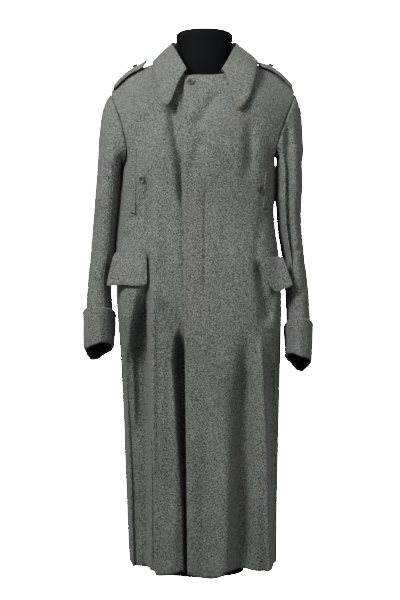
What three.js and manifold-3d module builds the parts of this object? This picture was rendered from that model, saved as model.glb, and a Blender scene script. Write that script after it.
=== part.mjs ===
import * as THREE from 'three';
import Module from 'manifold-3d';
import { mergeVertices } from 'three/addons/utils/BufferGeometryUtils.js';

// Military overcoat on a limbless dress form. Millimetres, +Z up, the front faces -Y.
// The origin is the centre of the base's underside. Right and left are the wearer's:
// the wearer's right is at -X.

// Driving dimensions
const WALL = 2.6;              // heavy wool cloth
const SEAM = 0.36;             // gap between two sewn pieces
const HEM_HEIGHT = 12;         // lowest edge of the coat above the floor
const ARMPIT_HEIGHT = 965;
const CHEST_LINE = 1000;       // height of the front and back middles level with the armpits
const FRONT_LAP = 3;           // the left front lies this far outside the right front's line
const NECK_LAP = 6;            // and this far at the neck
const UNDERLAP_X = 28;         // hidden edge of the right front
const NECK_X = 8;              // middle of the neck
const NECK_WIDTH = 74;         // half of the neckline's width
const NECK_MIDDLE_Y = -10;
const NECK_DEPTH = 82;         // half of the neckline from front to back
const SIDE_NECK_ANGLE = 95;    // where the shoulder seam meets the neckline
const SKIRT_ROWS = 16;         // rows of faces from the hem to the armpit
const YOKE_ROWS = 8;           // rows of faces from the armpit to the shoulder seam
const COLUMNS = 17;            // columns of faces across a panel

const CLOTH = new THREE.Color(0.125, 0.137, 0.118);
const HORN = new THREE.Color(0.05, 0.055, 0.045);
const JERSEY = new THREE.Color(0.006, 0.006, 0.007);
const PAINT = new THREE.Color(0.02, 0.02, 0.022);

// Sections of the coat below the armpits: the right and left side, the front and the back, and how
// square the section is (2 is an ellipse).
const SECTIONS = [
  { z: 12, right: -168, left: 183, front: -160, back: 150, square: 2.6 },
  { z: 150, right: -172, left: 184, front: -157, back: 146, square: 2.7 },
  { z: 300, right: -177, left: 187, front: -153, back: 142, square: 2.8 },
  { z: 450, right: -186, left: 191, front: -149, back: 138, square: 2.9 },
  { z: 560, right: -197, left: 193, front: -146, back: 134, square: 3.0 },
  { z: 680, right: -205, left: 193, front: -141, back: 128, square: 3.5 },
  { z: 762, right: -202, left: 188, front: -134, back: 120, square: 3.2 },
  { z: 852, right: -197, left: 175, front: -124, back: 108, square: 2.7 },
  { z: 940, right: -190, left: 178, front: -132, back: 112, square: 2.6 },
  { z: 1000, right: -185, left: 181, front: -138, back: 116, square: 2.6 },
];

// Edge of the left front, seen from the front
const FRONT_EDGE = [
  { z: 12, x: -32 },
  { z: 220, x: -34 },
  { z: 450, x: -37 },
  { z: 700, x: -40 },
  { z: 1189, x: -41 },
];

// Rows of the yoke, from just above the armpit to the shoulder seam. The first columns place the
// armhole's edge, turn is how far the section turns towards the side there, and lift raises the
// middle of the row.
const FRONT_YOKE = [
  { right: -182, left: 178, y: -34, z: 971, turn: 84, square: 2.5, lift: 0 },
  { right: -177, left: 176, y: -62, z: 988, turn: 76, square: 2.4, lift: 0 },
  { right: -176, left: 179, y: -80, z: 1016, turn: 68, square: 2.3, lift: 0 },
  { right: -182, left: 188, y: -86, z: 1048, turn: 62, square: 2.2, lift: 0 },
  { right: -191, left: 199, y: -80, z: 1080, turn: 56, square: 2.1, lift: 3 },
  { right: -201, left: 211, y: -63, z: 1110, turn: 52, square: 2.0, lift: 6 },
  { right: -212, left: 222, y: -36, z: 1138, turn: 48, square: 2.0, lift: 10 },
  { right: -221, left: 230, y: 0, z: 1162, turn: 45, square: 2.0, lift: 14 },
];
const BACK_YOKE = [
  { right: -182, left: 178, y: 32, z: 972, turn: 84, square: 2.5, lift: 0 },
  { right: -178, left: 177, y: 58, z: 990, turn: 76, square: 2.4, lift: 0 },
  { right: -178, left: 180, y: 76, z: 1019, turn: 68, square: 2.3, lift: 0 },
  { right: -184, left: 189, y: 83, z: 1051, turn: 62, square: 2.2, lift: 0 },
  { right: -193, left: 200, y: 78, z: 1083, turn: 56, square: 2.1, lift: 3 },
  { right: -203, left: 212, y: 62, z: 1113, turn: 52, square: 2.0, lift: 6 },
  { right: -213, left: 223, y: 36, z: 1140, turn: 48, square: 2.0, lift: 10 },
  { right: -221, left: 230, y: 0, z: 1162, turn: 45, square: 2.0, lift: 14 },
];

// Inner ends of the yoke rows: a height on the middle line, then an angle round the neckline
const FRONT_MIDDLE = [{ z: 1065, y: -132 }, { z: 1130, y: -118 }];
const LEFT_FRONT_NECK = [-41.5, -8, 22, 48, 72, SIDE_NECK_ANGLE];
const RIGHT_FRONT_NECK = [-15.7, 8, 31, 54, 75, SIDE_NECK_ANGLE];
const BACK_MIDDLE = [{ z: 1052, y: 117 }, { z: 1104, y: 114 }, { z: 1156, y: 106 }, { z: 1206, y: 92 }];
const BACK_NECK = [180, 155, 125, SIDE_NECK_ANGLE];

// Height of the neckline, by the angle from its front
const NECKLINE = [
  { angle: 0, z: 1188 },
  { angle: 40, z: 1190 },
  { angle: 62, z: 1208 },
  { angle: 80, z: 1229 },
  { angle: 95, z: 1242 },
  { angle: 125, z: 1249 },
  { angle: 180, z: 1252 },
];
const NECK_FRONT = { z: NECKLINE[0].z, y: NECK_MIDDLE_Y - NECK_DEPTH };
const NECK_BACK = { z: NECKLINE[NECKLINE.length - 1].z, y: NECK_MIDDLE_Y + NECK_DEPTH };

// How round the neckline is: it is nearly straight from its front to the first angle, and round from
// the second
const NECK_ROUNDING = { fromAngle: 40, toAngle: 78, straight: 0.3, round: 0.95 };

// Largest folds. A path runs by across (x, or y on a side) and z, valleys have a negative depth,
// fade is how far a fold runs out past its ends, and only names the one panel that it is on. A fold
// grows as the cloth turns to its face.
const FACING_GAIN = 1.6;
const FACING_START = 0.15;
const FOLDS = [
  { only: 'front_right', face: 'front', path: [[-58, 1120], [-47, 985]], width: 14, depth: -6, fade: 60 },
  { only: 'front_right', face: 'front', path: [[-52, 585], [-52, 480], [-45, 330], [-42, 12]],
    width: 12, depth: -22, fade: 60 },
  { only: 'front_right', face: 'front', path: [[-140, 560], [-139, 410], [-132, 300], [-131, 12]],
    width: 14, depth: -34, fade: 90 },
  { only: 'front_right', face: 'front', path: [[-112, 720], [-108, 400], [-106, 12]],
    width: 12, depth: 7, fade: 60 },
  { only: 'front_right', face: 'front', path: [[-127, 757], [-129, 600]], width: 9, depth: -9, fade: 30 },
  { only: 'front_right', face: 'front', path: [[-184, 665], [-172, 610]], width: 26, depth: 9, fade: 45 },
  { only: 'front_right', face: 'front', path: [[-126, 955], [-124, 800]],
    width: 10, depth: -6, fade: 40 },
  { only: 'front_right', face: 'front', path: [[-146, 865], [-176, 805]],
    width: 10, depth: -5, fade: 25 },
  { only: 'front_left', face: 'front', path: [[60, 235], [56, 12]], width: 17, depth: 8, fade: 120 },
  { only: 'front_left', face: 'front', path: [[94, 400], [96, 12]], width: 20, depth: -24, fade: 140 },
  { only: 'front_left', face: 'front', path: [[142, 488], [152, 300], [160, 12]],
    width: 13, depth: 9, fade: 60 },
  { only: 'front_left', face: 'front', path: [[136, 745], [152, 640]], width: 11, depth: -11, fade: 35 },
  { only: 'front_left', face: 'front', path: [[116, 1060], [116, 950]], width: 14, depth: -5, fade: 40 },
  { only: 'front_left', face: 'front', path: [[34, 1130], [-4, 1060]], width: 16, depth: -4, fade: 30 },
  { face: 'left', path: [[-60, 500], [-52, 12]], width: 20, depth: -9, fade: 120 },
  { face: 'right', path: [[30, 500], [30, 12]], width: 24, depth: 6, fade: 120 },
  { face: 'back', path: [[-6, 800], [-2, 12]], width: 15, depth: -7, fade: 60 },
  { face: 'back', path: [[-72, 640], [-78, 12]], width: 20, depth: 9, fade: 120 },
  { face: 'back', path: [[-118, 560], [-124, 12]], width: 18, depth: -14, fade: 120 },
  { face: 'back', path: [[66, 660], [72, 12]], width: 20, depth: 9, fade: 120 },
  { face: 'back', path: [[112, 520], [122, 12]], width: 18, depth: -15, fade: 120 },
  { face: 'back', path: [[-120, 1010], [-96, 900]], width: 14, depth: -6, fade: 50 },
  { face: 'back', path: [[118, 1000], [92, 890]], width: 14, depth: -6, fade: 50 },
];

// Sections of the sleeves below the armhole: outer and inner side from the body's middle, middle of
// the depth, half of the depth, and how far the opening leans so that its front is the higher edge
const SLEEVES = {
  right: [
    { z: 940, outer: -253, inner: -193, y: 0, depth: 82, lean: 0 },
    { z: 880, outer: -258, inner: -197.5, y: 2, depth: 82, lean: 0 },
    { z: 820, outer: -264, inner: -202, y: 3, depth: 81, lean: 1 },
    { z: 760, outer: -270, inner: -207, y: 1, depth: 80, lean: 3 },
    { z: 700, outer: -275, inner: -218, y: -5, depth: 79, lean: 6 },
    { z: 645, outer: -278, inner: -214, y: -13, depth: 78, lean: 9 },
    { z: 590, outer: -279, inner: -211, y: -23, depth: 77, lean: 12 },
    { z: 533, outer: -279, inner: -212, y: -34, depth: 76, lean: 14 },
  ],
  left: [
    { z: 940, outer: 247, inner: 182, y: 0, depth: 82, lean: 0 },
    { z: 880, outer: 244, inner: 183.5, y: 3, depth: 82, lean: 0 },
    { z: 820, outer: 246, inner: 187, y: 5, depth: 81, lean: 1 },
    { z: 760, outer: 252, inner: 198, y: 4, depth: 80, lean: 3 },
    { z: 700, outer: 258, inner: 203, y: -1, depth: 79, lean: 6 },
    { z: 630, outer: 262, inner: 207, y: -9, depth: 78, lean: 9 },
    { z: 570, outer: 264, inner: 208, y: -18, depth: 77, lean: 12 },
    { z: 505, outer: 265, inner: 205, y: -29, depth: 76, lean: 14 },
  ],
};
const UNDERARM_SHIFT = 2.2;                      // the sleeve starts this far above and outside the armpit
const HEAD_STEPS = [0, 0.12, 0.3, 0.52, 0.76];   // rows of the sleeve head, as parts of its drop
const HEAD_OUT = 0.78;                           // where the head bends, as parts of the way to the sleeve
const HEAD_ACROSS = 0.4;
const HEAD_DROP = 0.06;
const HEAD_SWELL = 1.03;                         // it stands this much deeper from front to back there
const UNDERARM_OUT = 0.5;                        // under the arm it bends further out
const UNDERARM_RISE = 20;                        // and higher
const SLEEVE_STEP = 30;                          // drop from one row of the sleeve to the next
const SLEEVE_SQUARE = 2.3;
const SLEEVE_CREASES = [                         // upright troughs, by the angle from the front
  { angle: 24, width: 17, depth: -6, top: 1060, bottom: 640 },
  { angle: 160, width: 20, depth: -5, top: 1040, bottom: 660 },
  { angle: -62, width: 22, depth: -4, top: 900, bottom: 700 },
];
const FRONT_SLEEVE_SEAM = 3;                     // armhole points from the armpit to each sleeve seam
const BACK_SLEEVE_SEAM = 13;
const CUFF_DEPTH = 92;
const CUFF_STEPS = [0, 0.3, 0.65, 1];            // rows of the cuff from its edge, as parts of its depth
const CUFF_GAP = 0.54;                           // air between the sleeve and the cuff's edge
const CUFF_FLARE = 4.5;                          // the cuff's top edge stands off the sleeve
const CUFF_DROP = 1.5;                           // its lower edge reaches below the sleeve's

// Collar, by the angle round the neck from the front: its fold line (half width, y, z) and its free
// edge on the right and left
const COLLAR = [
  { angle: 35, fold: [41, -97, 1200], right: [-84, -136, 1117], left: [77, -136, 1106] },
  { angle: 47, fold: [48, -90, 1213], right: [-99, -128, 1128], left: [98, -132, 1126] },
  { angle: 62, fold: [58, -76, 1232], right: [-113, -106, 1158], left: [113, -118, 1157] },
  { angle: 80, fold: [70, -48, 1258], right: [-122, -64, 1200], left: [125, -78, 1200] },
  { angle: 97, fold: [78, -12, 1275], right: [-126, -8, 1234], left: [130, -8, 1237] },
  { angle: 120, fold: [72, 30, 1284], right: [-119, 44, 1231], left: [122, 44, 1233] },
  { angle: 150, fold: [42, 66, 1290], right: [-72, 98, 1214], left: [74, 98, 1214] },
  { angle: 180, fold: [0, 78, 1292], right: [0, 116, 1207], left: [0, 116, 1207] },
];
const COLLAR_COLUMNS = 28;
const COLLAR_ROLL = 5.5;        // how far the fall stands outside the stand at the fold
const COLLAR_FALL = [0.3, 0.65]; // rows of the fall between the roll and the free edge
const COLLAR_BOW = 3;           // they stand this far outside a straight line
const STAND_RISE = 3.3;         // gap from the neckline's edge to the stand's lower edge
const STAND_INSET = 1;          // the stand is set this far inside the neckline
const STAND_LEAST = 4;          // lowest stand, at the collar's ends

// Pockets: outlines of the flaps and welts seen from the front, as x and z. Past reach they no longer
// follow the panel round to the side.
const FLAPS = {
  right: {
    top: [[-203, 769], [-127, 766]],
    bottom: [[-222, 684], [-186, 690], [-150, 686], [-125, 690]],
    reach: 178,
  },
  left: {
    top: [[134, 754], [192, 758]],
    bottom: [[168, 672], [190, 678], [206, 686], [213, 690]],
    reach: 174,
  },
};
const FLAP_LIFTS = [2.0, 6];    // air under the top and the bottom edge
const WELT_LIFTS = [0.9, 0.9];
const WELT_WALL = 2;
const FORWARD_LEAN = 0.35;      // what lies on a panel turns this much to the front
const WELTS = {
  right: { top: [[-164, 1014], [-152, 1014]], bottom: [[-168, 862], [-155, 858]], reach: 170 },
  left: { top: [[152, 960], [163, 962]], bottom: [[146, 872], [158, 870]], reach: 170 },
};
const BUTTONS = [
  { name: 'collar_button', x: -23, z: 1168, radius: 8.5, on: 'front_left' },
  { name: 'pocket_button_right', x: -139, z: 939, radius: 8, on: 'front_right' },
  { name: 'pocket_button_left', x: 139, z: 916, radius: 8, on: 'front_left' },
];
const BUTTON_HEIGHT = 3.6;
const BUTTON_SIDES = 16;
const BUTTON_PROFILE = [        // from the back's middle to the dished face, in radii and heights
  [0, 0], [0.8, 0], [1, 0.35], [0.96, 0.85], [0.82, 1], [0.62, 0.75], [0, 0.7],
];
const BUTTON_LIFT = 0.5;

// Shoulder straps along the shoulder seam
const STRAPS = {
  right: { tip: -127, root: -211, tipLift: 9 },
  left: { tip: 137, root: 221, tipLift: 0 },
};
const STRAP_WIDTH = 44;
const STRAP_WALL = 3.0;
const STRAP_LIFT = 1.5;
const STRAP_ROWS = 8;
const STRAP_COLUMNS = 4;
const STRAP_TIP_WIDTH = 0.72;   // width of the tip, as part of the strap's
const STRAP_TIP_REACH = 0.3;    // part of the strap that rises to the tip
const STRAP_BUTTON = { along: 0.38, y: 2, radius: 7.5 };

// Dress form
const FORM_SECTIONS = [
  { z: 715, width: 140, front: -92, back: 84, square: 2.2 },
  { z: 735, width: 158, front: -104, back: 96, square: 2.2 },
  { z: 800, width: 152, front: -98, back: 90, square: 2.2 },
  { z: 860, width: 138, front: -90, back: 82, square: 2.2 },
  { z: 930, width: 146, front: -100, back: 88, square: 2.2 },
  { z: 1000, width: 158, front: -112, back: 92, square: 2.2 },
  { z: 1050, width: 160, front: -104, back: 94, square: 2.3 },
  { z: 1090, width: 168, front: -84, back: 84, square: 2.3 },
  { z: 1120, width: 172, front: -66, back: 72, square: 2.2 },
  { z: 1150, width: 158, front: -58, back: 60, square: 2.1 },
  { z: 1180, width: 122, front: -56, back: 54, square: 2.0 },
  { z: 1208, width: 84, front: -58, back: 52, square: 2.0 },
  { z: 1232, width: 66, front: -58, back: 50, square: 2.0 },
  { z: 1262, width: 65, front: -56, back: 48, square: 2.0 },
  { z: 1290, width: 71, front: -56, back: 48, square: 2.0 },
  { z: 1303, width: 68, front: -52, back: 45, square: 2.0 },
  { z: 1311, width: 50, front: -38, back: 30, square: 2.0 },
];
const FORM_SEGMENTS = 28;
const FORM_MIDDLE = { lowX: -4, fromZ: 850, toZ: 1200 };   // its middle leans over to the neck's
const REST_GAP = 0.5;           // the coat's cloth lies this far above the form's shoulders
const REST_ROWS = 2;            // rows of the yoke on each side of the shoulder seam that are carried
const REST_MARGIN = 4;          // columns left free at the neck and at the armhole
const REST_DEPTH = 34;
const REST_TAPER = 0.8;         // the rest narrows to this share of its depth below
const MERGE_DISTANCE = 1e-4;
const POLE_RADIUS = 16;
const POLE_SIDES = 24;
const BASE_RADIUS = 104;
const BASE_HEIGHT = 9;
const BASE_SIDES = 48;
const JOINT_GAP = 0.3;

const WASM = await Module();
WASM.setup();

const v3 = (x, y, z) => new THREE.Vector3(x, y, z);
const radians = THREE.MathUtils.degToRad;
const mix = THREE.MathUtils.lerp;
const power = (value, exponent) => Math.sign(value) * Math.abs(value) ** exponent;

// Smooth value of a table's column at a place along its key column
function read(table, key, column, at) {
  const ascending = table[0][key] < table[table.length - 1][key] ? 1 : -1;
  let i = 0;
  while (i < table.length - 2 && ascending * at > ascending * table[i + 1][key]) i += 1;
  const near = (k) => table[Math.min(Math.max(k, 0), table.length - 1)];
  const [before, start, end, after] = [near(i - 1), near(i), near(i + 1), near(i + 2)];
  const span = end[key] - start[key];
  const t = THREE.MathUtils.clamp((at - start[key]) / span, 0, 1);
  const slope = (a, b) => (b[key] === a[key] ? 0 : (b[column] - a[column]) / (b[key] - a[key]));
  const m0 = slope(before, end) * span;
  const m1 = slope(start, after) * span;
  const t2 = t * t;
  const t3 = t2 * t;
  return (2 * t3 - 3 * t2 + 1) * start[column] + (t3 - 2 * t2 + t) * m0
    + (-2 * t3 + 3 * t2) * end[column] + (t3 - t2) * m1;
}

// Points spread evenly along a curve given as a function of 0 to 1
function spread(curve, count) {
  const fine = Array.from({ length: 61 }, (_, i) => curve(i / 60));
  const lengths = [0];
  fine.slice(1).forEach((p, i) => lengths.push(lengths[i] + p.distanceTo(fine[i])));
  const total = lengths[60];
  return Array.from({ length: count + 1 }, (_, k) => {
    const want = (total * k) / count;
    let i = 0;
    while (i < 59 && lengths[i + 1] < want) i += 1;
    const t = (want - lengths[i]) / (lengths[i + 1] - lengths[i]);
    return fine[i].clone().lerp(fine[i + 1], t);
  });
}

// A row of a panel from its middle end to its side end, on a part of a squared ellipse
function panelRow(inner, outer, middleX, { turn, square, lift }, depthAt) {
  const e = 2 / square;
  const across = (phi) => power(Math.sin(phi), e);
  const along = (phi) => Math.abs(Math.cos(phi)) ** e;
  const last = radians(turn);
  const share = (inner.x - middleX) / (outer.x - middleX);
  const first = Math.asin(power(share * across(last), 1 / e));
  const ratio = inner.y / depthAt(inner.z);
  return spread((u) => {
    const phi = mix(first, last, u);
    const x = middleX + ((outer.x - middleX) * across(phi)) / across(last);
    const t = (along(phi) - along(last)) / (along(first) - along(last));
    const z = mix(inner.z, outer.z, u);
    return v3(x, mix(outer.y, ratio * depthAt(z), t), z + lift * Math.sin(Math.PI * u));
  }, COLUMNS);
}

// The fronts lie over each other: the left one further out, the right one further in
function lapOf(side, z) {
  const rise = THREE.MathUtils.smoothstep(z, CHEST_LINE, NECK_FRONT.z);
  return (side === 'left' ? -1 : 1) * mix(FRONT_LAP, NECK_LAP, rise);
}

// Point of the neckline at an angle from its front, of the right or left half of the coat
function neckline(side, angle, outside = 0) {
  const a = radians(side === 'left' ? angle : -angle);
  const z = read(NECKLINE, 'angle', 'z', Math.abs(angle));
  const { fromAngle, toAngle, straight, round } = NECK_ROUNDING;
  const rounding = THREE.MathUtils.smoothstep(Math.abs(angle), fromAngle, toAngle);
  const forward = power(Math.cos(a), mix(straight, round, rounding));
  const lap = lapOf(side, z) * Math.max(0, forward);
  return v3(NECK_X + (NECK_WIDTH + outside) * Math.sin(a),
    NECK_MIDDLE_Y - (NECK_DEPTH + outside) * forward + lap, z);
}

// Rows of one of the four body panels from the hem to the shoulder seam
function bodyPanel(side, isFront) {
  const middle = isFront ? FRONT_MIDDLE : BACK_MIDDLE;
  const depthTable = [
    ...SECTIONS.map((row) => ({ z: row.z, y: isFront ? row.front : row.back })),
    ...middle,
    isFront ? NECK_FRONT : NECK_BACK,
  ];
  const depthAt = (z) => read(depthTable, 'z', 'y', z);
  const lapAt = (z) => (isFront ? lapOf(side, z) : 0);
  const middleOf = (z) => (read(SECTIONS, 'z', 'left', z) + read(SECTIONS, 'z', 'right', z)) / 2;
  const edgeX = (z) => {
    if (!isFront) return middleOf(z);
    return side === 'left' ? read(FRONT_EDGE, 'z', 'x', z) : UNDERLAP_X;
  };
  const rows = [];
  for (let k = 0; k <= SKIRT_ROWS; k += 1) {
    const zInner = mix(HEM_HEIGHT, CHEST_LINE, k / SKIRT_ROWS);
    const zOuter = mix(HEM_HEIGHT, ARMPIT_HEIGHT, k / SKIRT_ROWS);
    const inner = v3(edgeX(zInner), depthAt(zInner) + lapAt(zInner), zInner);
    const outer = v3(read(SECTIONS, 'z', side, zOuter), 0, zOuter);
    const shape = { turn: 90, square: read(SECTIONS, 'z', 'square', zOuter), lift: 0 };
    rows.push(panelRow(inner, outer, middleOf(zOuter), shape, depthAt));
  }
  const yoke = isFront ? FRONT_YOKE : BACK_YOKE;
  const frontNeck = side === 'left' ? LEFT_FRONT_NECK : RIGHT_FRONT_NECK;
  const neck = isFront ? frontNeck : BACK_NECK;
  yoke.forEach((row, j) => {
    const onNeck = j >= middle.length;
    const angle = onNeck ? neck[j - middle.length] : 0;
    const { z, y } = middle[j] ?? {};
    const inner = onNeck ? neckline(side, angle) : v3(edgeX(z), y + lapAt(z), z);
    const seamRow = j === yoke.length - 1;
    rows.push(panelRow(inner, v3(row[side], row.y, row.z), NECK_X * (j / YOKE_ROWS), row,
      seamRow ? () => inner.y : depthAt));
  });
  return rows;
}

// Outward normals of a grid of points; reference gives a point inside for each point
function gridNormals(grid, reference, ring = false) {
  const rows = grid.length;
  const columns = grid[0].length;
  const wrap = (c) => (ring ? (c + columns) % columns : THREE.MathUtils.clamp(c, 0, columns - 1));
  let outward = 0;
  const normals = grid.map((row, r) => row.map((point, c) => {
    const up = grid[Math.min(r + 1, rows - 1)][c].clone().sub(grid[Math.max(r - 1, 0)][c]);
    const along = row[wrap(c + 1)].clone().sub(row[wrap(c - 1)]);
    const normal = along.cross(up).normalize();
    outward += normal.dot(point.clone().sub(reference(point)));
    return normal;
  }));
  if (outward < 0) normals.forEach((row) => row.forEach((n) => n.negate()));
  return normals;
}

// Pieces sewn together share one normal where their edges meet
function sewNormals(pieces) {
  const sums = new Map();
  const keyOf = (p) => p.toArray().map((value) => value.toFixed(2)).join();
  const visit = (act) => pieces.forEach(({ grid, normals }) => grid.forEach((row, r) => {
    row.forEach((point, c) => act(keyOf(point), normals[r][c]));
  }));
  visit((key, normal) => sums.set(key, (sums.get(key) ?? v3(0, 0, 0)).add(normal)));
  visit((key, normal) => normal.copy(sums.get(key)).normalize());
}

// Depth of all folds at a point of the body, along its normal
function foldDepth(piece, point, normal) {
  const facing = { front: -normal.y, back: normal.y, right: -normal.x, left: normal.x };
  let depth = 0;
  FOLDS.forEach(({ only, face, path, width, depth: full, fade }) => {
    if (only && only !== piece) return;
    const turned = THREE.MathUtils.clamp(facing[face] * FACING_GAIN - FACING_START, 0, 1);
    const top = path[0][1];
    const bottom = path[path.length - 1][1];
    const z = THREE.MathUtils.clamp(point.z, bottom, top);
    let i = 0;
    while (i < path.length - 2 && z < path[i + 1][1]) i += 1;
    const t = (z - path[i][1]) / (path[i + 1][1] - path[i][1]);
    const middle = mix(path[i][0], path[i + 1][0], t);
    const across = face === 'front' || face === 'back' ? point.x : point.y;
    const past = Math.max(point.z - top, bottom - point.z, 0) / fade;
    const side = Math.exp(-(((across - middle) / width) ** 2));
    depth += full * turned * side * Math.max(0, 1 - past * past) ** 2;
  });
  return depth;
}

// Moves the edge points of a piece inwards by half of the seam's gap
function insetEdges(grid, normals, ring) {
  const rows = grid.length;
  const columns = grid[0].length;
  const shift = grid.map((row) => row.map(() => v3(0, 0, 0)));
  const push = (r, c, before, after, inside) => {
    const edge = after.clone().sub(before);
    const inward = edge.cross(normals[r][c]).normalize();
    if (inward.dot(inside.clone().sub(grid[r][c])) < 0) inward.negate();
    shift[r][c].addScaledVector(inward, SEAM / 2);
  };
  for (let c = 0; c < columns; c += 1) {
    const low = ring ? (c + columns - 1) % columns : Math.max(c - 1, 0);
    const high = ring ? (c + 1) % columns : Math.min(c + 1, columns - 1);
    push(0, c, grid[0][low], grid[0][high], grid[1][c]);
    push(rows - 1, c, grid[rows - 1][low], grid[rows - 1][high], grid[rows - 2][c]);
  }
  for (let r = 0; r < rows && !ring; r += 1) {
    const low = Math.max(r - 1, 0);
    const high = Math.min(r + 1, rows - 1);
    push(r, 0, grid[low][0], grid[high][0], grid[r][1]);
    push(r, columns - 1, grid[low][columns - 1], grid[high][columns - 1], grid[r][columns - 2]);
  }
  return grid.map((row, r) => row.map((point, c) => point.clone().add(shift[r][c])));
}

// Closed body between two grids of points of the same size
function closedBody(outer, inner, ring = false) {
  const rows = outer.length;
  const columns = outer[0].length;
  const points = [...outer.flat(), ...inner.flat()];
  const at = (r, c, layer) => layer * rows * columns + r * columns + (c % columns);
  const index = [];
  const quad = (a, b, c, d) => index.push(a, b, c, a, c, d);
  const spans = ring ? columns : columns - 1;
  for (let c = 0; c < spans; c += 1) {
    for (let r = 0; r < rows - 1; r += 1) {
      quad(at(r, c, 0), at(r, c + 1, 0), at(r + 1, c + 1, 0), at(r + 1, c, 0));
      quad(at(r, c, 1), at(r + 1, c, 1), at(r + 1, c + 1, 1), at(r, c + 1, 1));
    }
    quad(at(0, c, 0), at(0, c, 1), at(0, c + 1, 1), at(0, c + 1, 0));
    quad(at(rows - 1, c, 0), at(rows - 1, c + 1, 0), at(rows - 1, c + 1, 1), at(rows - 1, c, 1));
  }
  for (let r = 0; r < rows - 1 && !ring; r += 1) {
    quad(at(r, 0, 0), at(r + 1, 0, 0), at(r + 1, 0, 1), at(r, 0, 1));
    const last = columns - 1;
    quad(at(r, last, 0), at(r, last, 1), at(r + 1, last, 1), at(r + 1, last, 0));
  }
  return outwardGeometry(points, index);
}

// Indexed geometry whose faces point out of the body
function outwardGeometry(points, index) {
  let volume = 0;
  for (let i = 0; i < index.length; i += 3) {
    const [a, b, c] = [points[index[i]], points[index[i + 1]], points[index[i + 2]]];
    volume += a.dot(b.clone().cross(c));
  }
  const faces = volume > 0 ? index : index.slice().reverse();
  const geometry = new THREE.BufferGeometry();
  geometry.setAttribute('position', new THREE.Float32BufferAttribute(points.flatMap((p) => p.toArray()), 3));
  geometry.setIndex(faces);
  geometry.computeVertexNormals();
  return geometry;
}

const moved = (grid, normals, distance) => grid.map((row, r) => (
  row.map((point, c) => point.clone().addScaledVector(normals[r][c], distance))));

// Cloth wall round a grid of middle points
function clothWall({ grid, normals, ring = false, wall = WALL }) {
  const edged = insetEdges(grid, normals, ring);
  return closedBody(moved(edged, normals, wall / 2), moved(edged, normals, -wall / 2), ring);
}

const model = new THREE.Group();
const meshes = {};

function addPiece(name, geometry, color, roughness = 0.95, metalness = 0) {
  const mesh = new THREE.Mesh(geometry, new THREE.MeshStandardMaterial({ color, roughness, metalness }));
  mesh.name = name;
  mesh.material.side = THREE.DoubleSide;
  meshes[name] = mesh;
  model.add(mesh);
}

// Body panels
const bodyAxis = (point) => v3(0, 0, point.z);
const panels = {};
['right', 'left'].forEach((side) => [true, false].forEach((isFront) => {
  const name = `${isFront ? 'front' : 'back'}_${side}`;
  const grid = bodyPanel(side, isFront);
  panels[name] = { grid, normals: gridNormals(grid, bodyAxis) };
}));
sewNormals(Object.values(panels));
Object.entries(panels).forEach(([name, panel]) => {
  panel.grid = panel.grid.map((row, r) => row.map((point, c) => {
    const normal = panel.normals[r][c];
    return point.clone().addScaledVector(normal, foldDepth(name, point, normal));
  }));
  panel.normals = gridNormals(panel.grid, bodyAxis);
});

// Sleeves
function sleeveRing(row, angle, stand = 0) {
  const sign = Math.sign(row.outer);
  const middle = (row.outer + row.inner) / 2;
  const width = Math.abs(row.outer - row.inner) / 2 + stand;
  const a = radians(angle);
  const e = 2 / SLEEVE_SQUARE;
  const across = (row.depth + stand) * -power(Math.cos(a), e);
  return v3(middle + sign * width * power(Math.sin(a), e), row.y + across,
    row.z - across * Math.tan(radians(row.lean)));
}

function sleeveRowAt(side, z) {
  const table = SLEEVES[side];
  const row = { z };
  ['outer', 'inner', 'y', 'depth', 'lean'].forEach((column) => {
    row[column] = read(table, 'z', column, z);
  });
  return row;
}

function creaseDepth(angle, z) {
  return SLEEVE_CREASES.reduce((sum, crease) => {
    const across = Math.exp(-(((angle - crease.angle) / crease.width) ** 2));
    const t = THREE.MathUtils.clamp((z - crease.bottom) / (crease.top - crease.bottom), 0, 1);
    return sum + crease.depth * across * Math.sin(Math.PI * t);
  }, 0);
}

function sleeveGrid(side) {
  const lastColumn = (name) => panels[name].grid.map((row) => row[row.length - 1]).slice(SKIRT_ROWS);
  const frontEdge = lastColumn(`front_${side}`);
  const backEdge = lastColumn(`back_${side}`).slice(1, -1).reverse();
  const armhole = [...frontEdge, ...backEdge];
  const angleOf = (i) => -90 + (360 * i) / armhole.length;
  const table = SLEEVES[side];
  const top = sleeveRowAt(side, table[0].z);
  const head = HEAD_STEPS.map((t) => armhole.map((edge, i) => {
    const angle = angleOf(i);
    const end = sleeveRing(top, angle, creaseDepth(angle, top.z));
    const under = Math.max(0, -Math.sin(radians(angle)));
    const shift = UNDERARM_SHIFT * under;
    const start = edge.clone().add(v3(Math.sign(top.outer) * shift, 0, shift));
    const bend = v3(
      mix(start.x, end.x, HEAD_OUT + UNDERARM_OUT * under),
      mix(start.y, end.y, HEAD_ACROSS) * HEAD_SWELL,
      mix(start.z, end.z, HEAD_DROP) + UNDERARM_RISE * under,
    );
    const a = start.clone().lerp(bend, t);
    const b = bend.clone().lerp(end, t);
    return a.lerp(b, t);
  }));
  const bottom = table[table.length - 1].z;
  const count = Math.round((top.z - bottom) / SLEEVE_STEP);
  const arm = Array.from({ length: count + 1 }, (_, k) => {
    const z = mix(top.z, bottom, k / count);
    const row = sleeveRowAt(side, z);
    return armhole.map((_, i) => sleeveRing(row, angleOf(i), creaseDepth(angleOf(i), z)));
  });
  return [...head, ...arm];
}

const tubeAxis = (grid) => {
  const middles = grid.map((row) => row.reduce((sum, p) => sum.add(p), v3(0, 0, 0)).divideScalar(row.length));
  return (point) => middles.reduce((best, m) => (
    m.distanceTo(point) < best.distanceTo(point) ? m : best), middles[0]);
};

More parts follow.
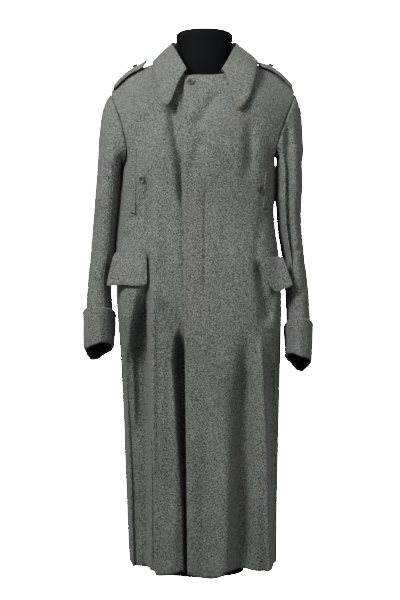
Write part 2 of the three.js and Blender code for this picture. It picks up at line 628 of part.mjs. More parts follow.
const sleeves = {};
['right', 'left'].forEach((side) => {
  const grid = sleeveGrid(side);
  sleeves[side] = { grid, normals: gridNormals(grid, tubeAxis(grid), true) };
});
sewNormals([...Object.values(panels), ...Object.values(sleeves)]);

Object.entries(panels).forEach(([name, panel]) => addPiece(name, clothWall(panel), CLOTH));

['right', 'left'].forEach((side) => {
  const { grid, normals } = sleeves[side];
  const part = (rows, from, to) => rows.map((row) => {
    const turned = [...row, ...row];
    return turned.slice(from, to + 1);
  });
  const around = grid[0].length;
  const cut = {
    top: [FRONT_SLEEVE_SEAM, BACK_SLEEVE_SEAM],
    under: [BACK_SLEEVE_SEAM, around + FRONT_SLEEVE_SEAM],
  };
  Object.entries(cut).forEach(([half, [from, to]]) => {
    const piece = { grid: part(grid, from, to), normals: part(normals, from, to) };
    addPiece(`sleeve_${side}_${half}`, clothWall(piece), CLOTH);
  });
});

// Turned-back cuffs, close to the sleeve at the edge and standing off it at the top
['right', 'left'].forEach((side) => {
  const bottom = SLEEVES[side][SLEEVES[side].length - 1].z;
  const around = sleeves[side].grid[0].length;
  const grid = CUFF_STEPS.map((t) => {
    const z = mix(bottom, bottom + CUFF_DEPTH, t);
    const row = sleeveRowAt(side, z);
    const stand = WALL + CUFF_GAP + CUFF_FLARE * t;
    return Array.from({ length: around }, (_, i) => {
      const point = sleeveRing(row, -90 + (360 * i) / around, stand);
      point.z -= CUFF_DROP * (1 - t);
      return point;
    });
  });
  const normals = gridNormals(grid, tubeAxis(grid), true);
  addPiece(`cuff_${side}`, clothWall({ grid, normals, ring: true }), CLOTH);
});

// Collar: the stand rises from the neckline, rolls over and falls outside to its free edge
function collarSection(angle, side) {
  const sign = side === 'right' ? -1 : 1;
  const column = (name, i) => read(COLLAR.map((row) => ({ angle: row.angle, value: row[name][i] })),
    'angle', 'value', angle);
  const foot = neckline(side, angle, -STAND_INSET).add(v3(0, 0, STAND_RISE));
  const fold = v3(NECK_X + sign * column('fold', 0), column('fold', 1), column('fold', 2));
  const edge = v3(NECK_X + column(side, 0), column(side, 1), column(side, 2));
  foot.z = Math.min(foot.z, fold.z - STAND_LEAST);
  const outward = edge.clone().sub(fold).setZ(0).normalize();
  const roll = fold.clone().addScaledVector(outward, COLLAR_ROLL);
  const crown = fold.clone().addScaledVector(outward, COLLAR_ROLL / 2).add(v3(0, 0, COLLAR_ROLL / 2));
  roll.z -= COLLAR_ROLL / 2;
  const fall = COLLAR_FALL.map((t) => roll.clone().lerp(edge, t).addScaledVector(outward, COLLAR_BOW));
  return [foot, foot.clone().lerp(fold, 0.5), fold, crown, roll, ...fall, edge];
}

const collarEnd = COLLAR[0].angle;
const collarGrid = Array.from({ length: COLLAR_COLUMNS + 1 }, (_, i) => {
  const turn = mix(collarEnd, 360 - collarEnd, i / COLLAR_COLUMNS);
  return turn <= 180 ? collarSection(turn, 'right') : collarSection(360 - turn, 'left');
});
const collarNormals = gridNormals(collarGrid, () => v3(NECK_X, NECK_MIDDLE_Y, NECK_FRONT.z));
addPiece('collar', clothWall({ grid: collarGrid, normals: collarNormals }), CLOTH);

// What lies on a panel is found on its outer face: straight in from the front, or down from above
const IN_FRONT_Y = -600;
const ABOVE_Z = 1500;
const NEXT_REACH = 0.985;       // each further try is this much nearer to the middle
const caster = new THREE.Raycaster();
function onPieces(names, from, direction) {
  caster.set(from, direction);
  return caster.intersectObjects(names.map((name) => meshes[name]))[0];
}

// Where a panel ends short of the place asked for, the nearest part of it counts
function onFront(name, x, z) {
  let hit = null;
  for (let reach = x; !hit; reach *= NEXT_REACH) {
    hit = onPieces([name], v3(reach, IN_FRONT_Y, z), v3(0, 1, 0));
  }
  return hit;
}

// Straight down, beside the shoulder seam where it meets the gap
function onTop(names, x, y) {
  const down = v3(0, 0, -1);
  return onPieces(names, v3(x, y, ABOVE_Z), down) ?? onPieces(names, v3(x, y - 2 * SEAM, ABOVE_Z), down);
}

// A flat piece laid on a panel: corners along its top and bottom, and how far it stands off there
function laidPiece(name, { top, bottom, reach }, on, lifts, wall, count) {
  const along = (line, t) => {
    const at = t * (line.length - 1);
    const i = Math.min(Math.floor(at), line.length - 2);
    return [mix(line[i][0], line[i + 1][0], at - i), mix(line[i][1], line[i + 1][1], at - i)];
  };
  const grid = Array.from({ length: count.rows + 1 }, (_, r) => {
    const down = r / count.rows;
    return Array.from({ length: count.columns + 1 }, (_, c) => {
      const [topX, topZ] = along(top, c / count.columns);
      const [lowX, lowZ] = along(bottom, c / count.columns);
      const place = v3(mix(topX, lowX, down), 0, mix(topZ, lowZ, down));
      const hit = onFront(on, THREE.MathUtils.clamp(place.x, -reach, reach), place.z);
      const out = hit.face.normal.clone().lerp(v3(0, -1, 0), FORWARD_LEAN).normalize();
      return place.setY(hit.point.y).addScaledVector(out, mix(lifts[0], lifts[1], down) + wall / 2);
    });
  });
  addPiece(name, clothWall({ grid, normals: gridNormals(grid, bodyAxis), wall }), CLOTH);
}

['right', 'left'].forEach((side) => {
  const on = `front_${side}`;
  laidPiece(`pocket_flap_${side}`, FLAPS[side], on, FLAP_LIFTS, WALL, { rows: 4, columns: 6 });
  laidPiece(`pocket_welt_${side}`, WELTS[side], on, WELT_LIFTS, WELT_WALL, { rows: 8, columns: 2 });
});

// Buttons: a flat back, a rounded rim and a dished face
function buttonGeometry(radius) {
  const line = BUTTON_PROFILE.map(([r, h]) => new THREE.Vector2(r * radius, h * BUTTON_HEIGHT));
  const lathe = new THREE.LatheGeometry(line, BUTTON_SIDES);
  lathe.rotateX(Math.PI / 2);
  return lathe;
}

function addButton(name, radius, point, normal) {
  addPiece(name, buttonGeometry(radius), HORN, 0.45);
  const mesh = meshes[name];
  mesh.quaternion.setFromUnitVectors(v3(0, 0, 1), normal);
  mesh.position.copy(point).addScaledVector(normal, BUTTON_LIFT);
}

BUTTONS.forEach(({ name, x, z, radius, on }) => {
  const { point, face } = onFront(on, x, z);
  addButton(name, radius, point, face.normal);
});

// Shoulder straps along the shoulder seam, with a button near the collar
['right', 'left'].forEach((side) => {
  const { tip, root, tipLift } = STRAPS[side];
  const yoke = [`front_${side}`, `back_${side}`, `sleeve_${side}_top`];
  const grid = Array.from({ length: STRAP_ROWS + 1 }, (_, r) => {
    const t = r / STRAP_ROWS;
    const half = (STRAP_WIDTH / 2) * (r === 0 ? STRAP_TIP_WIDTH : 1);
    return Array.from({ length: STRAP_COLUMNS + 1 }, (_, c) => {
      const x = mix(tip, root, t);
      const y = mix(-half, half, c / STRAP_COLUMNS);
      const { point, face } = onTop(yoke, x, y);
      const rise = tipLift * Math.max(0, 1 - t / STRAP_TIP_REACH) ** 2;
      const lift = STRAP_LIFT + STRAP_WALL / 2 + rise;
      return point.clone().addScaledVector(face.normal.clone().setY(0).normalize(), lift);
    });
  });
  const normals = gridNormals(grid, () => v3(0, 0, ARMPIT_HEIGHT));
  addPiece(`shoulder_strap_${side}`, clothWall({ grid, normals, wall: STRAP_WALL }), CLOTH);
});

model.updateMatrixWorld(true);
['right', 'left'].forEach((side) => {
  const { tip, root } = STRAPS[side];
  const { along, y, radius } = STRAP_BUTTON;
  const { point, face } = onTop([`shoulder_strap_${side}`], mix(tip, root, along), y);
  addButton(`strap_button_${side}`, radius, point, face.normal);
});

// Dress form: a smooth torso with its neck, whose shoulders carry the coat
function formGrid() {
  return FORM_SECTIONS.map(({ z, width, front, back, square }) => (
    Array.from({ length: FORM_SEGMENTS }, (_, i) => {
      const a = (2 * Math.PI * i) / FORM_SEGMENTS;
      const y = -power(Math.cos(a), 2 / square);
      const { lowX, fromZ, toZ } = FORM_MIDDLE;
      const middle = mix(lowX, NECK_X, THREE.MathUtils.clamp((z - fromZ) / (toZ - fromZ), 0, 1));
      return v3(middle + width * power(Math.sin(a), 2 / square), y < 0 ? -y * front : y * back, z);
    })));
}

function solidFromRings(rings) {
  const around = rings[0].length;
  const points = rings.flat();
  const index = [];
  for (let r = 0; r < rings.length - 1; r += 1) {
    for (let c = 0; c < around; c += 1) {
      const next = (c + 1) % around;
      const [a, b, d, e] = [r * around + c, r * around + next, (r + 1) * around + next, (r + 1) * around + c];
      index.push(a, b, d, a, d, e);
    }
  }
  [0, rings.length - 1].forEach((r) => {
    const middle = rings[r].reduce((sum, p) => sum.add(p), v3(0, 0, 0)).divideScalar(around);
    const centre = points.push(middle) - 1;
    for (let c = 0; c < around; c += 1) {
      const pair = [r * around + c, r * around + ((c + 1) % around)];
      if (r === 0) pair.reverse();
      index.push(centre, ...pair);
    }
  });
  return outwardGeometry(points, index);
}

function toManifold(geometry) {
  const plain = mergeVertices(geometry.clone().deleteAttribute('normal'), MERGE_DISTANCE);
  return new WASM.Manifold(new WASM.Mesh({
    numProp: 3,
    vertProperties: new Float32Array(plain.attributes.position.array),
    triVerts: new Uint32Array(plain.index.array),
  }));
}

function fromManifold(solid) {
  const { vertProperties, triVerts } = solid.getMesh();
  const geometry = new THREE.BufferGeometry();
  geometry.setAttribute('position', new THREE.Float32BufferAttribute(vertProperties, 3));
  geometry.setIndex(Array.from(triVerts));
  geometry.computeVertexNormals();
  return geometry;
}

// Part of the form's shoulder that follows the coat's own points, just below its cloth
function shoulderRest(side) {
  const rowsOf = (name, key) => panels[name][key].slice(-1 - REST_ROWS)
    .map((row) => row.slice(REST_MARGIN, row.length - REST_MARGIN));
  const both = (key) => [
    ...rowsOf(`front_${side}`, key),
    ...rowsOf(`back_${side}`, key).slice(0, -1).reverse(),
  ];
  const under = moved(both('grid'), both('normals'), -WALL / 2 - REST_GAP);
  const deep = under.map((row) => row.map((p) => v3(p.x, p.y * REST_TAPER, p.z - REST_DEPTH)));
  return toManifold(closedBody(under, deep));
}

const torso = ['right', 'left'].reduce((solid, side) => solid.add(shoulderRest(side)),
  toManifold(solidFromRings(formGrid())));
addPiece('form_torso', fromManifold(torso), JERSEY, 0.8);

const poleTop = FORM_SECTIONS[0].z - JOINT_GAP;
const poleLength = poleTop - BASE_HEIGHT - JOINT_GAP;
const pole = new THREE.CylinderGeometry(POLE_RADIUS, POLE_RADIUS, poleLength, POLE_SIDES);
pole.rotateX(Math.PI / 2);
pole.translate(0, 0, BASE_HEIGHT + JOINT_GAP + poleLength / 2);
addPiece('form_pole', pole, PAINT, 0.4, 0.6);

const base = new THREE.CylinderGeometry(BASE_RADIUS, BASE_RADIUS, BASE_HEIGHT, BASE_SIDES);
base.rotateX(Math.PI / 2);
base.translate(0, 0, BASE_HEIGHT / 2);
addPiece('form_base', base, PAINT, 0.4, 0.6);

export default model;
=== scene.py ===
"""A military overcoat of grey-green wool on a black dress form, dressed around its solids.

Lengths in the classes are millimetres unless a name says otherwise; meshes are in metres.
The front faces -Y and the wearer's left is at +X.
"""
import logging
import math
from collections.abc import Callable, Iterable
from dataclasses import dataclass, field
from enum import Enum

import bmesh
import bpy
import numpy as np
from bpy.types import Material, Mesh, Node, NodeSocket, NodeTree, Object
from mathutils import Matrix, Vector, noise
from mathutils.bvhtree import BVHTree
from mathutils.kdtree import KDTree


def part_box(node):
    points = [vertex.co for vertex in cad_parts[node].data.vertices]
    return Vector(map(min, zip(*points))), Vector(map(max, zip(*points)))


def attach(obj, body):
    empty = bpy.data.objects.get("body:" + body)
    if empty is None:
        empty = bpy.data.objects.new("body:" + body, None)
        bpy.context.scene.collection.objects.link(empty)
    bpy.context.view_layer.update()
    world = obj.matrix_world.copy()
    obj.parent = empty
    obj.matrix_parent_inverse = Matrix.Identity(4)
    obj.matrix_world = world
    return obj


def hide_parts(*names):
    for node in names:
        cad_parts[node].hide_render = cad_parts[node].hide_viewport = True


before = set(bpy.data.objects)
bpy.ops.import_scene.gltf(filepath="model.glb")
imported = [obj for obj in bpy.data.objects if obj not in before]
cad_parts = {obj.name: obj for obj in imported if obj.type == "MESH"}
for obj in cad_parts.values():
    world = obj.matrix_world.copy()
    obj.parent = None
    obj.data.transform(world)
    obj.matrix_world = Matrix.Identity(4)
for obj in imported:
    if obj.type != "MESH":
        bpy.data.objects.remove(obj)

LOG = logging.getLogger("overcoat")
MM = 0.001
WALL = 2.6
WELT_WALL = 2.0
STRAP_WALL = 3.0
ROOT = "root"
SAME_POINT = 0.02                      # points of a solid nearer than this are one
RIM_WIDTH = 1.3                        # a face with an edge under this many walls is the wall's rim
FAR = 1.0                              # metres, outside the coat on any side
SWAY_LENGTHS = (42.0, 42.0, 140.0)     # slow unevenness of hanging cloth
RIPPLE_LENGTHS = (16.0, 16.0, 38.0)    # quick unevenness over it
RIPPLE_SHARE = 0.3
RIPPLE_SHIFT = 9.0
ROLLED_EDGE = 4.0                      # how far in a cut edge rolls under
RUBBED_EDGE = 5.0                      # how far in a cut edge is worn
HEM_REACH = 110.0                      # how far up an uneven hem is felt
HEM_INSET = 14.0                       # hem stitches above the edge
SEAM_TURNS = ((3.4, 0.5), (1.2, 9.0))  # two steps of a seam allowance: depth, and reach to the body
STITCH_SEAT = 0.15                     # how far a stitch's middle stands off the cloth
STITCH_FLATNESS = 0.8
WHITE = (1.0, 1.0, 1.0, 1.0)
Place = tuple[Vector, Vector]          # a point on the cloth and the cloth's normal there
Colour = tuple[float, float, float]
Pairs = tuple[tuple[float, float], ...]


class Held(Enum):
    """How a sheet of cloth is held."""

    DRAPED = "draped"
    HUNG = "hung"
    FOLDED = "folded"


class Face(Enum):
    """Side of the coat that something is drawn on: across axis, facing axis and its sign."""

    FRONT = (0, 1, -1.0)
    BACK = (0, 1, 1.0)
    LEFT = (1, 0, 1.0)
    RIGHT = (1, 0, -1.0)


class Outline(Enum):
    """How the cut edge of a piece runs after it is made finer."""

    SHARP = "PRESERVE_CORNERS"
    ROUNDED = "ALL"


@dataclass(frozen=True)
class Crease:
    """A trough or ridge drawn as a line seen from one side.

    path holds across, height and half width. A negative depth is a trough. skew steepens the flank
    of larger across, sharp above 2 gives a flatter floor and steeper walls, and the crease grows
    over fade from each end of its line.
    """

    path: tuple[tuple[float, float, float], ...]
    depth: float
    face: Face = Face.FRONT
    skew: float = 0.0
    sharp: float = 2.0
    fade: float = 60.0


@dataclass(frozen=True)
class Wear:
    """A patch of cloth gone brown: its middle, reach and strength seen from one side."""

    across: float
    height: float
    reach: tuple[float, float]
    strength: float
    face: Face = Face.FRONT


@dataclass(frozen=True)
class EdgeRun:
    """A row of stitches beside the edge of a piece, where its points pass a test."""

    inset: float
    where: Callable[[Vector], bool]


# Shader groups and finishes

class NodeChain:
    """Short way to add and join nodes in one tree."""

    def __init__(self, tree: NodeTree) -> None:
        """Keep the tree."""
        self.tree = tree

    def put(self, socket: NodeSocket, value: object) -> None:
        """Set an input, or join it to an output."""
        if isinstance(value, NodeSocket):
            self.tree.links.new(value, socket)
        else:
            socket.default_value = value

    def add(self, kind: str, settings: dict | None = None, **sockets: object) -> Node:
        """Add a node.

        Args:
            kind: Node type.
            settings: Node properties.
            **sockets: Values or outputs for inputs, with underscores for spaces.

        Returns:
            The node.
        """
        node = self.tree.nodes.new(kind)
        for key, value in (settings or {}).items():
            setattr(node, key, value)
        return self.fill(node, **sockets)

    def fill(self, node: Node, **sockets: object) -> Node:
        """Set inputs of a node, with underscores for spaces, and give the node back."""
        for key, value in sockets.items():
            self.put(node.inputs[key.replace("_", " ")], value)
        return node

    def maths(self, operation: str, a: object, b: object = 0.0, clamp: bool = False) -> NodeSocket:
        """Add a Math node and give its output."""
        node = self.add("ShaderNodeMath", {"operation": operation, "use_clamp": clamp})
        self.put(node.inputs[0], a)
        self.put(node.inputs[1], b)
        return node.outputs[0]

    def blend(self, factor: object, a: object, b: object) -> NodeSocket:
        """Add a colour Mix node and give its output."""
        node = self.add("ShaderNodeMix", {"data_type": "RGBA"})
        for index, value in ((0, factor), (6, a), (7, b)):
            self.put(node.inputs[index], value)
        return node.outputs[2]

    def spread(self, value: object, low: float, high: float) -> NodeSocket:
        """Stretch a value between two limits to 0 and 1."""
        return self.add("ShaderNodeMapRange", Value=value, From_Min=low, From_Max=high).outputs[0]


def opaque(colour: Iterable[float]) -> tuple[float, ...]:
    """Colour with full alpha."""
    return (*colour, 1.0)


def melange_group() -> NodeTree:
    """Felted wool spun from pale and dark fibres.

    Returns:
        A group that gives a fleck mask, a cloud mask and a nap height. Its sizes are flecks and
        clouds to the metre.
    """
    group = bpy.data.node_groups.new("wool_melange", "ShaderNodeTree")
    for name, value in (("Flecks", 1000.0), ("Clouds", 7.0)):
        socket = group.interface.new_socket(name, in_out="INPUT", socket_type="NodeSocketFloat")
        socket.default_value = value
    for name in ("Fleck", "Cloud", "Nap"):
        group.interface.new_socket(name, in_out="OUTPUT", socket_type="NodeSocketFloat")
    chain = NodeChain(group)
    sizes = chain.add("NodeGroupInput").outputs
    place = chain.add("ShaderNodeTexCoord").outputs["Object"]
    fine = chain.add("ShaderNodeTexNoise", Vector=place, Scale=sizes["Flecks"], Detail=2.0, Roughness=0.7)
    coarse = chain.add("ShaderNodeTexNoise", Vector=place, Detail=2.0, Roughness=0.65,
                       Scale=chain.maths("MULTIPLY", sizes["Flecks"], 0.45))
    cloud = chain.add("ShaderNodeTexNoise", Vector=place, Scale=sizes["Clouds"], Detail=4.0, Roughness=0.6)
    mixed = chain.maths("ADD", chain.maths("MULTIPLY", fine.outputs[0], 0.5),
                        chain.maths("MULTIPLY", coarse.outputs[0], 0.5))
    sink = chain.add("NodeGroupOutput")
    chain.put(sink.inputs["Fleck"], chain.spread(mixed, 0.45, 0.58))
    chain.put(sink.inputs["Cloud"], chain.spread(cloud.outputs[0], 0.35, 0.65))
    chain.put(sink.inputs["Nap"], mixed)
    return group


def new_material(name: str) -> tuple[Material, NodeChain, Node]:
    """Make a material and give its node chain and Principled shader."""
    material = bpy.data.materials.new(name)
    material.use_nodes = True
    return material, NodeChain(material.node_tree), material.node_tree.nodes["Principled BSDF"]


@dataclass(frozen=True)
class WoolFinish:
    """Heavy wool melton: dark and pale fibres, soft clouds of tone, and brown where it is worn."""

    name: str
    dark: Colour
    pale: Colour
    worn: Colour = (0.2, 0.165, 0.1)
    flecks: float = 1000.0
    cloud_share: float = 0.16
    nap: float = 0.5

    def build(self, melange: NodeTree) -> Material:
        """Make the material.

        Args:
            melange: Shader group of the wool's flecks.

        Returns:
            The material.
        """
        material, chain, shader = new_material(self.name)
        wool = chain.add("ShaderNodeGroup", {"node_tree": melange}, Flecks=self.flecks)
        tone = chain.blend(wool.outputs["Fleck"], opaque(self.dark), opaque(self.pale))
        cloud = chain.maths("MULTIPLY", wool.outputs["Cloud"], self.cloud_share)
        deep = chain.blend(cloud, tone, opaque(v * 0.55 for v in self.dark))
        worn = chain.add("ShaderNodeAttribute", {"attribute_name": "worn"}).outputs["Fac"]
        rubbed = chain.maths("MULTIPLY", worn, chain.maths("ADD", wool.outputs["Fleck"], 0.45), clamp=True)
        bump = chain.add("ShaderNodeBump", Height=wool.outputs["Nap"], Strength=self.nap, Distance=0.0009)
        chain.fill(shader, Base_Color=chain.blend(rubbed, deep, opaque(self.worn)), Normal=bump.outputs[0],
                   Roughness=0.95, Sheen_Weight=0.1, Sheen_Roughness=0.55, Specular_IOR_Level=0.12)
        return material


@dataclass(frozen=True)
class GrainFinish:
    """A finish of two close tones in a fine grain with a shallow relief."""

    name: str
    tone: Colour
    second: Colour
    grain: float
    relief: float
    roughness: float
    specular: float = 0.5

    def build(self) -> Material:
        """Make the material."""
        material, chain, shader = new_material(self.name)
        place = chain.add("ShaderNodeTexCoord").outputs["Object"]
        grain = chain.add("ShaderNodeTexNoise", Vector=place, Scale=self.grain, Detail=3.0).outputs[0]
        bump = chain.add("ShaderNodeBump", Height=grain, Strength=self.relief, Distance=0.0005)
        chain.fill(shader, Base_Color=chain.blend(grain, opaque(self.tone), opaque(self.second)),
                   Normal=bump.outputs[0], Roughness=self.roughness, Specular_IOR_Level=self.specular)
        return material


@dataclass(frozen=True)
class KnitFinish:
    """Stretch jersey: rows of small loops."""

    name: str
    tone: Colour
    loops: float = 700.0

    def build(self) -> Material:
        """Make the material."""
        material, chain, shader = new_material(self.name)
        place = chain.add("ShaderNodeTexCoord").outputs["Object"]
        turned = chain.add("ShaderNodeMapping", Vector=place, Scale=(1.0, 1.0, 1.6)).outputs[0]
        loop = chain.add("ShaderNodeTexVoronoi", Vector=turned, Scale=self.loops).outputs["Distance"]
        high, low = (opaque(v * share for v in self.tone) for share in (1.4, 0.6))
        bump = chain.add("ShaderNodeBump", Height=loop, Strength=0.3, Distance=0.0004)
        chain.fill(shader, Base_Color=chain.blend(loop, high, low), Normal=bump.outputs[0],
                   Roughness=0.85, Specular_IOR_Level=0.15)
        return material


@dataclass
class Finishes:
    """Every material of the part, built once."""

    wool: Material
    lining: Material
    thread: Material
    tack: Material
    horn: Material
    jersey: Material
    paint: Material

    @classmethod
    def build(cls) -> "Finishes":
        """Make all materials."""
        melange = melange_group()
        return cls(
            wool=WoolFinish("wool_melton", (0.036, 0.045, 0.037), (0.32, 0.35, 0.315)).build(melange),
            # inner faces: a dark lining tone that also paints the shade inside the coat, the sleeves and the
            # cuffs
            lining=WoolFinish("wool_underside_painted_shade", (0.018, 0.021, 0.018), (0.06, 0.066, 0.056),
                              flecks=1100.0).build(melange),
            thread=GrainFinish("thread_green", (0.07, 0.08, 0.06), (0.14, 0.15, 0.11), 1500.0, 0.3, 0.85,
                               0.2).build(),
            tack=GrainFinish("thread_olive", (0.2, 0.18, 0.07), (0.34, 0.31, 0.14), 1500.0, 0.3, 0.85,
                             0.2).build(),
            horn=GrainFinish("button_horn", (0.035, 0.04, 0.03), (0.085, 0.095, 0.07), 240.0, 0.2,
                             0.45).build(),
            jersey=KnitFinish("form_jersey", (0.004, 0.004, 0.005)).build(),
            paint=GrainFinish("stand_paint", (0.018, 0.018, 0.02), (0.03, 0.03, 0.033), 1400.0, 0.2,
                              0.42).build(),
        )


# Mesh helpers

def link(name: str, mesh: Mesh, *materials: Material) -> Object:
    """Make an object of a mesh, with materials and smooth faces."""
    mesh.name = name
    obj = bpy.data.objects.new(name, mesh)
    bpy.context.scene.collection.objects.link(obj)
    mesh.materials.clear()
    for material in materials:
        mesh.materials.append(material)
    mesh.shade_smooth()
    return obj


def finished(name: str, shape: bmesh.types.BMesh, *materials: Material) -> Object:
    """Turn a bmesh into an object and free it."""
    mesh = bpy.data.meshes.new(name)
    shape.to_mesh(mesh)
    shape.free()
    return link(name, mesh, *materials)


def apply_modifiers(obj: Object) -> None:
    """Bake an object's modifiers into its mesh."""
    graph = bpy.context.evaluated_depsgraph_get()
    mesh = bpy.data.meshes.new_from_object(obj.evaluated_get(graph))
    obj.modifiers.clear()
    old = obj.data
    obj.data = mesh
    bpy.data.meshes.remove(old)


def vectors_of(mesh: Mesh, key: str) -> np.ndarray:
    """Vertex places or normals of a mesh, a row each."""
    values = np.empty(len(mesh.vertices) * 3)
    mesh.vertices.foreach_get(key, values)
    return values.reshape(-1, 3)


def set_places(mesh: Mesh, places: np.ndarray) -> None:
    """Write vertex places back."""
    mesh.vertices.foreach_set("co", places.reshape(-1))
    mesh.update()


def edge_distances(mesh: Mesh) -> np.ndarray:
    """Distance of each vertex from the sheet's cut edge, in millimetres."""
    sheet = bmesh.new()
    sheet.from_mesh(mesh)
    border = [v.co.copy() for v in sheet.verts if v.is_boundary]
    tree = KDTree(len(border))
    for i, place in enumerate(border):
        tree.insert(place, i)
    tree.balance()
    distances = np.array([tree.find(v.co)[2] / MM for v in sheet.verts])
    sheet.free()
    return distances


def smooth_step(share: np.ndarray) -> np.ndarray:
    """Ease a share from 0 to 1 at both ends."""
    return share * share * (3 - 2 * share)


def facing_share(normals: np.ndarray, face: Face, gain: float, loss: float = 0.0) -> np.ndarray:
    """How much each vertex faces a side, from 0 to 1."""
    _, facing_axis, sign = face.value
    return np.clip(normals[:, facing_axis] * sign * gain - loss, 0.0, 1.0)


def unevenness(place: np.ndarray) -> float:
    """Slow sway of hanging cloth with a quick ripple over it."""
    slow = Vector([v / length for v, length in zip(place, SWAY_LENGTHS)])
    quick = Vector([v / length for v, length in zip(place, RIPPLE_LENGTHS)])
    quick.x += RIPPLE_SHIFT
    return noise.noise(slow) + RIPPLE_SHARE * noise.noise(quick)


def along_path(crease: Crease, across: np.ndarray, height: np.ndarray
               ) -> tuple[np.ndarray, np.ndarray, np.ndarray]:
    """Where points lie beside a crease's line.

    Args:
        crease: The crease.
        across: Across coordinate of each point.
        height: Height of each point.

    Returns:
        Distance from the line, positive on the side of larger across; the crease's strength at the
        nearest place on the line; and its half width there.
    """
    line = np.array(crease.path, float)
    steps = np.linalg.norm(np.diff(line[:, :2], axis=0), axis=1)
    ends = np.concatenate(([0.0], np.cumsum(steps)))
    best = np.full(across.shape, 1e9)
    signed = np.zeros(across.shape)
    run = np.zeros(across.shape)
    for i, length in enumerate(steps):
        direction = (line[i + 1, :2] - line[i, :2]) / length
        dx, dz = across - line[i, 0], height - line[i, 1]
        t = dx * direction[0] + dz * direction[1]
        held = np.clip(t, -1e9 if i == 0 else 0.0, 1e9 if i == len(steps) - 1 else length)
        off_x, off_z = dx - held * direction[0], dz - held * direction[1]
        near = np.hypot(off_x, off_z)
        closer = near < best
        best = np.where(closer, near, best)
        signed = np.where(closer, np.copysign(near, off_x), signed)
        run = np.where(closer, ends[i] + held, run)
    inside = np.clip(np.minimum(run, ends[-1] - run) / crease.fade, 0.0, 1.0)
    return signed, smooth_step(inside), np.interp(run, ends, line[:, 2])


def add_creases(creases: tuple[Crease, ...], places: np.ndarray, normals: np.ndarray) -> np.ndarray:
    """Move points of a sheet by all its creases, each straight along its side's axis.

    Args:
        creases: The creases.
        places: Vertex places in millimetres.
        normals: Vertex normals.

    Returns:
        The new places.
    """
    moved = places.copy()
    for crease in creases:
        across_axis, facing_axis, sign = crease.face.value
        facing = facing_share(normals, crease.face, 2.4, 0.1)
        distance, strength, width = along_path(crease, places[:, across_axis], places[:, 2])
        width = np.where(distance > 0, width * (1 - crease.skew), width * (1 + crease.skew))
        section = np.exp(-(np.abs(distance / width) ** crease.sharp))
        moved[:, facing_axis] += sign * crease.depth * section * strength * facing
    return moved


def add_wear(mesh: Mesh, patches: tuple[Wear, ...], lone: np.ndarray) -> None:
    """Write how brown each vertex is into the sheet's attribute.

    Args:
        mesh: The sheet.
        patches: Worn patches.
        lone: Extra wear for each vertex.
    """
    places, normals = vectors_of(mesh, "co") / MM, vectors_of(mesh, "normal")
    worn = lone.copy()
    for patch in patches:
        facing = facing_share(normals, patch.face, 2.0)
        dx = (places[:, patch.face.value[0]] - patch.across) / patch.reach[0]
        dz = (places[:, 2] - patch.height) / patch.reach[1]
        worn += patch.strength * np.exp(-(dx * dx) - dz * dz) * facing
    layer = mesh.attributes.new("worn", "FLOAT", "POINT")
    layer.data.foreach_set("value", np.clip(worn, 0.0, 1.0))


def outer_sheet(node: str, wall: float, middle: Callable[[Vector], Vector]) -> bmesh.types.BMesh:
    """Outer face of a cloth wall, as quads.

    Args:
        node: CAD node of the wall.
        wall: Its thickness.
        middle: Gives a point inside the garment for a point of the wall.

    Returns:
        The sheet.
    """
    mesh = bmesh.new()
    mesh.from_mesh(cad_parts[node].data)
    bmesh.ops.remove_doubles(mesh, verts=mesh.verts, dist=SAME_POINT * MM)
    limit = RIM_WIDTH * wall * MM
    rim = [f for f in mesh.faces if min(e.calc_length() for e in f.edges) < limit]
    bmesh.ops.delete(mesh, geom=rim, context="FACES")
    mesh.faces.ensure_lookup_table()
    islands: list[set[bmesh.types.BMFace]] = []
    left = set(mesh.faces)
    while left:
        island, queue = set(), [left.pop()]
        while queue:
            face = queue.pop()
            island.add(face)
            near = {other for edge in face.edges for other in edge.link_faces} & left
            left -= near
            queue.extend(near)
        islands.append(island)

    def outwardness(island: set[bmesh.types.BMFace]) -> float:
        centres = ((f, f.calc_center_median()) for f in island)
        return sum(f.normal.dot(c - middle(c)) * f.calc_area() for f, c in centres)

    keep = max(sorted(islands, key=len)[-2:], key=outwardness)
    bmesh.ops.delete(mesh, geom=[f for f in mesh.faces if f not in keep], context="FACES")
    bmesh.ops.join_triangles(mesh, faces=mesh.faces, angle_face_threshold=math.pi,
                             angle_shape_threshold=math.pi)
    return mesh


def resample(run: list[Place], pitch: float) -> list[tuple[Vector, Vector, Vector]]:
    """Evenly spaced places along a run, with normal and direction.

    Args:
        run: Places of the run.
        pitch: Distance between two places.

    Returns:
        Point, normal and direction for each place.
    """
    found = []
    gone, want = 0.0, pitch / 2
    for (start, n0), (end, n1) in zip(run, run[1:]):
        length = (end - start).length / MM
        while length > 0 and want <= gone + length:
            t = (want - gone) / length
            found.append((start.lerp(end, t), n0.lerp(n1, t).normalized(), (end - start).normalized()))
            want += pitch
        gone += length
    return found


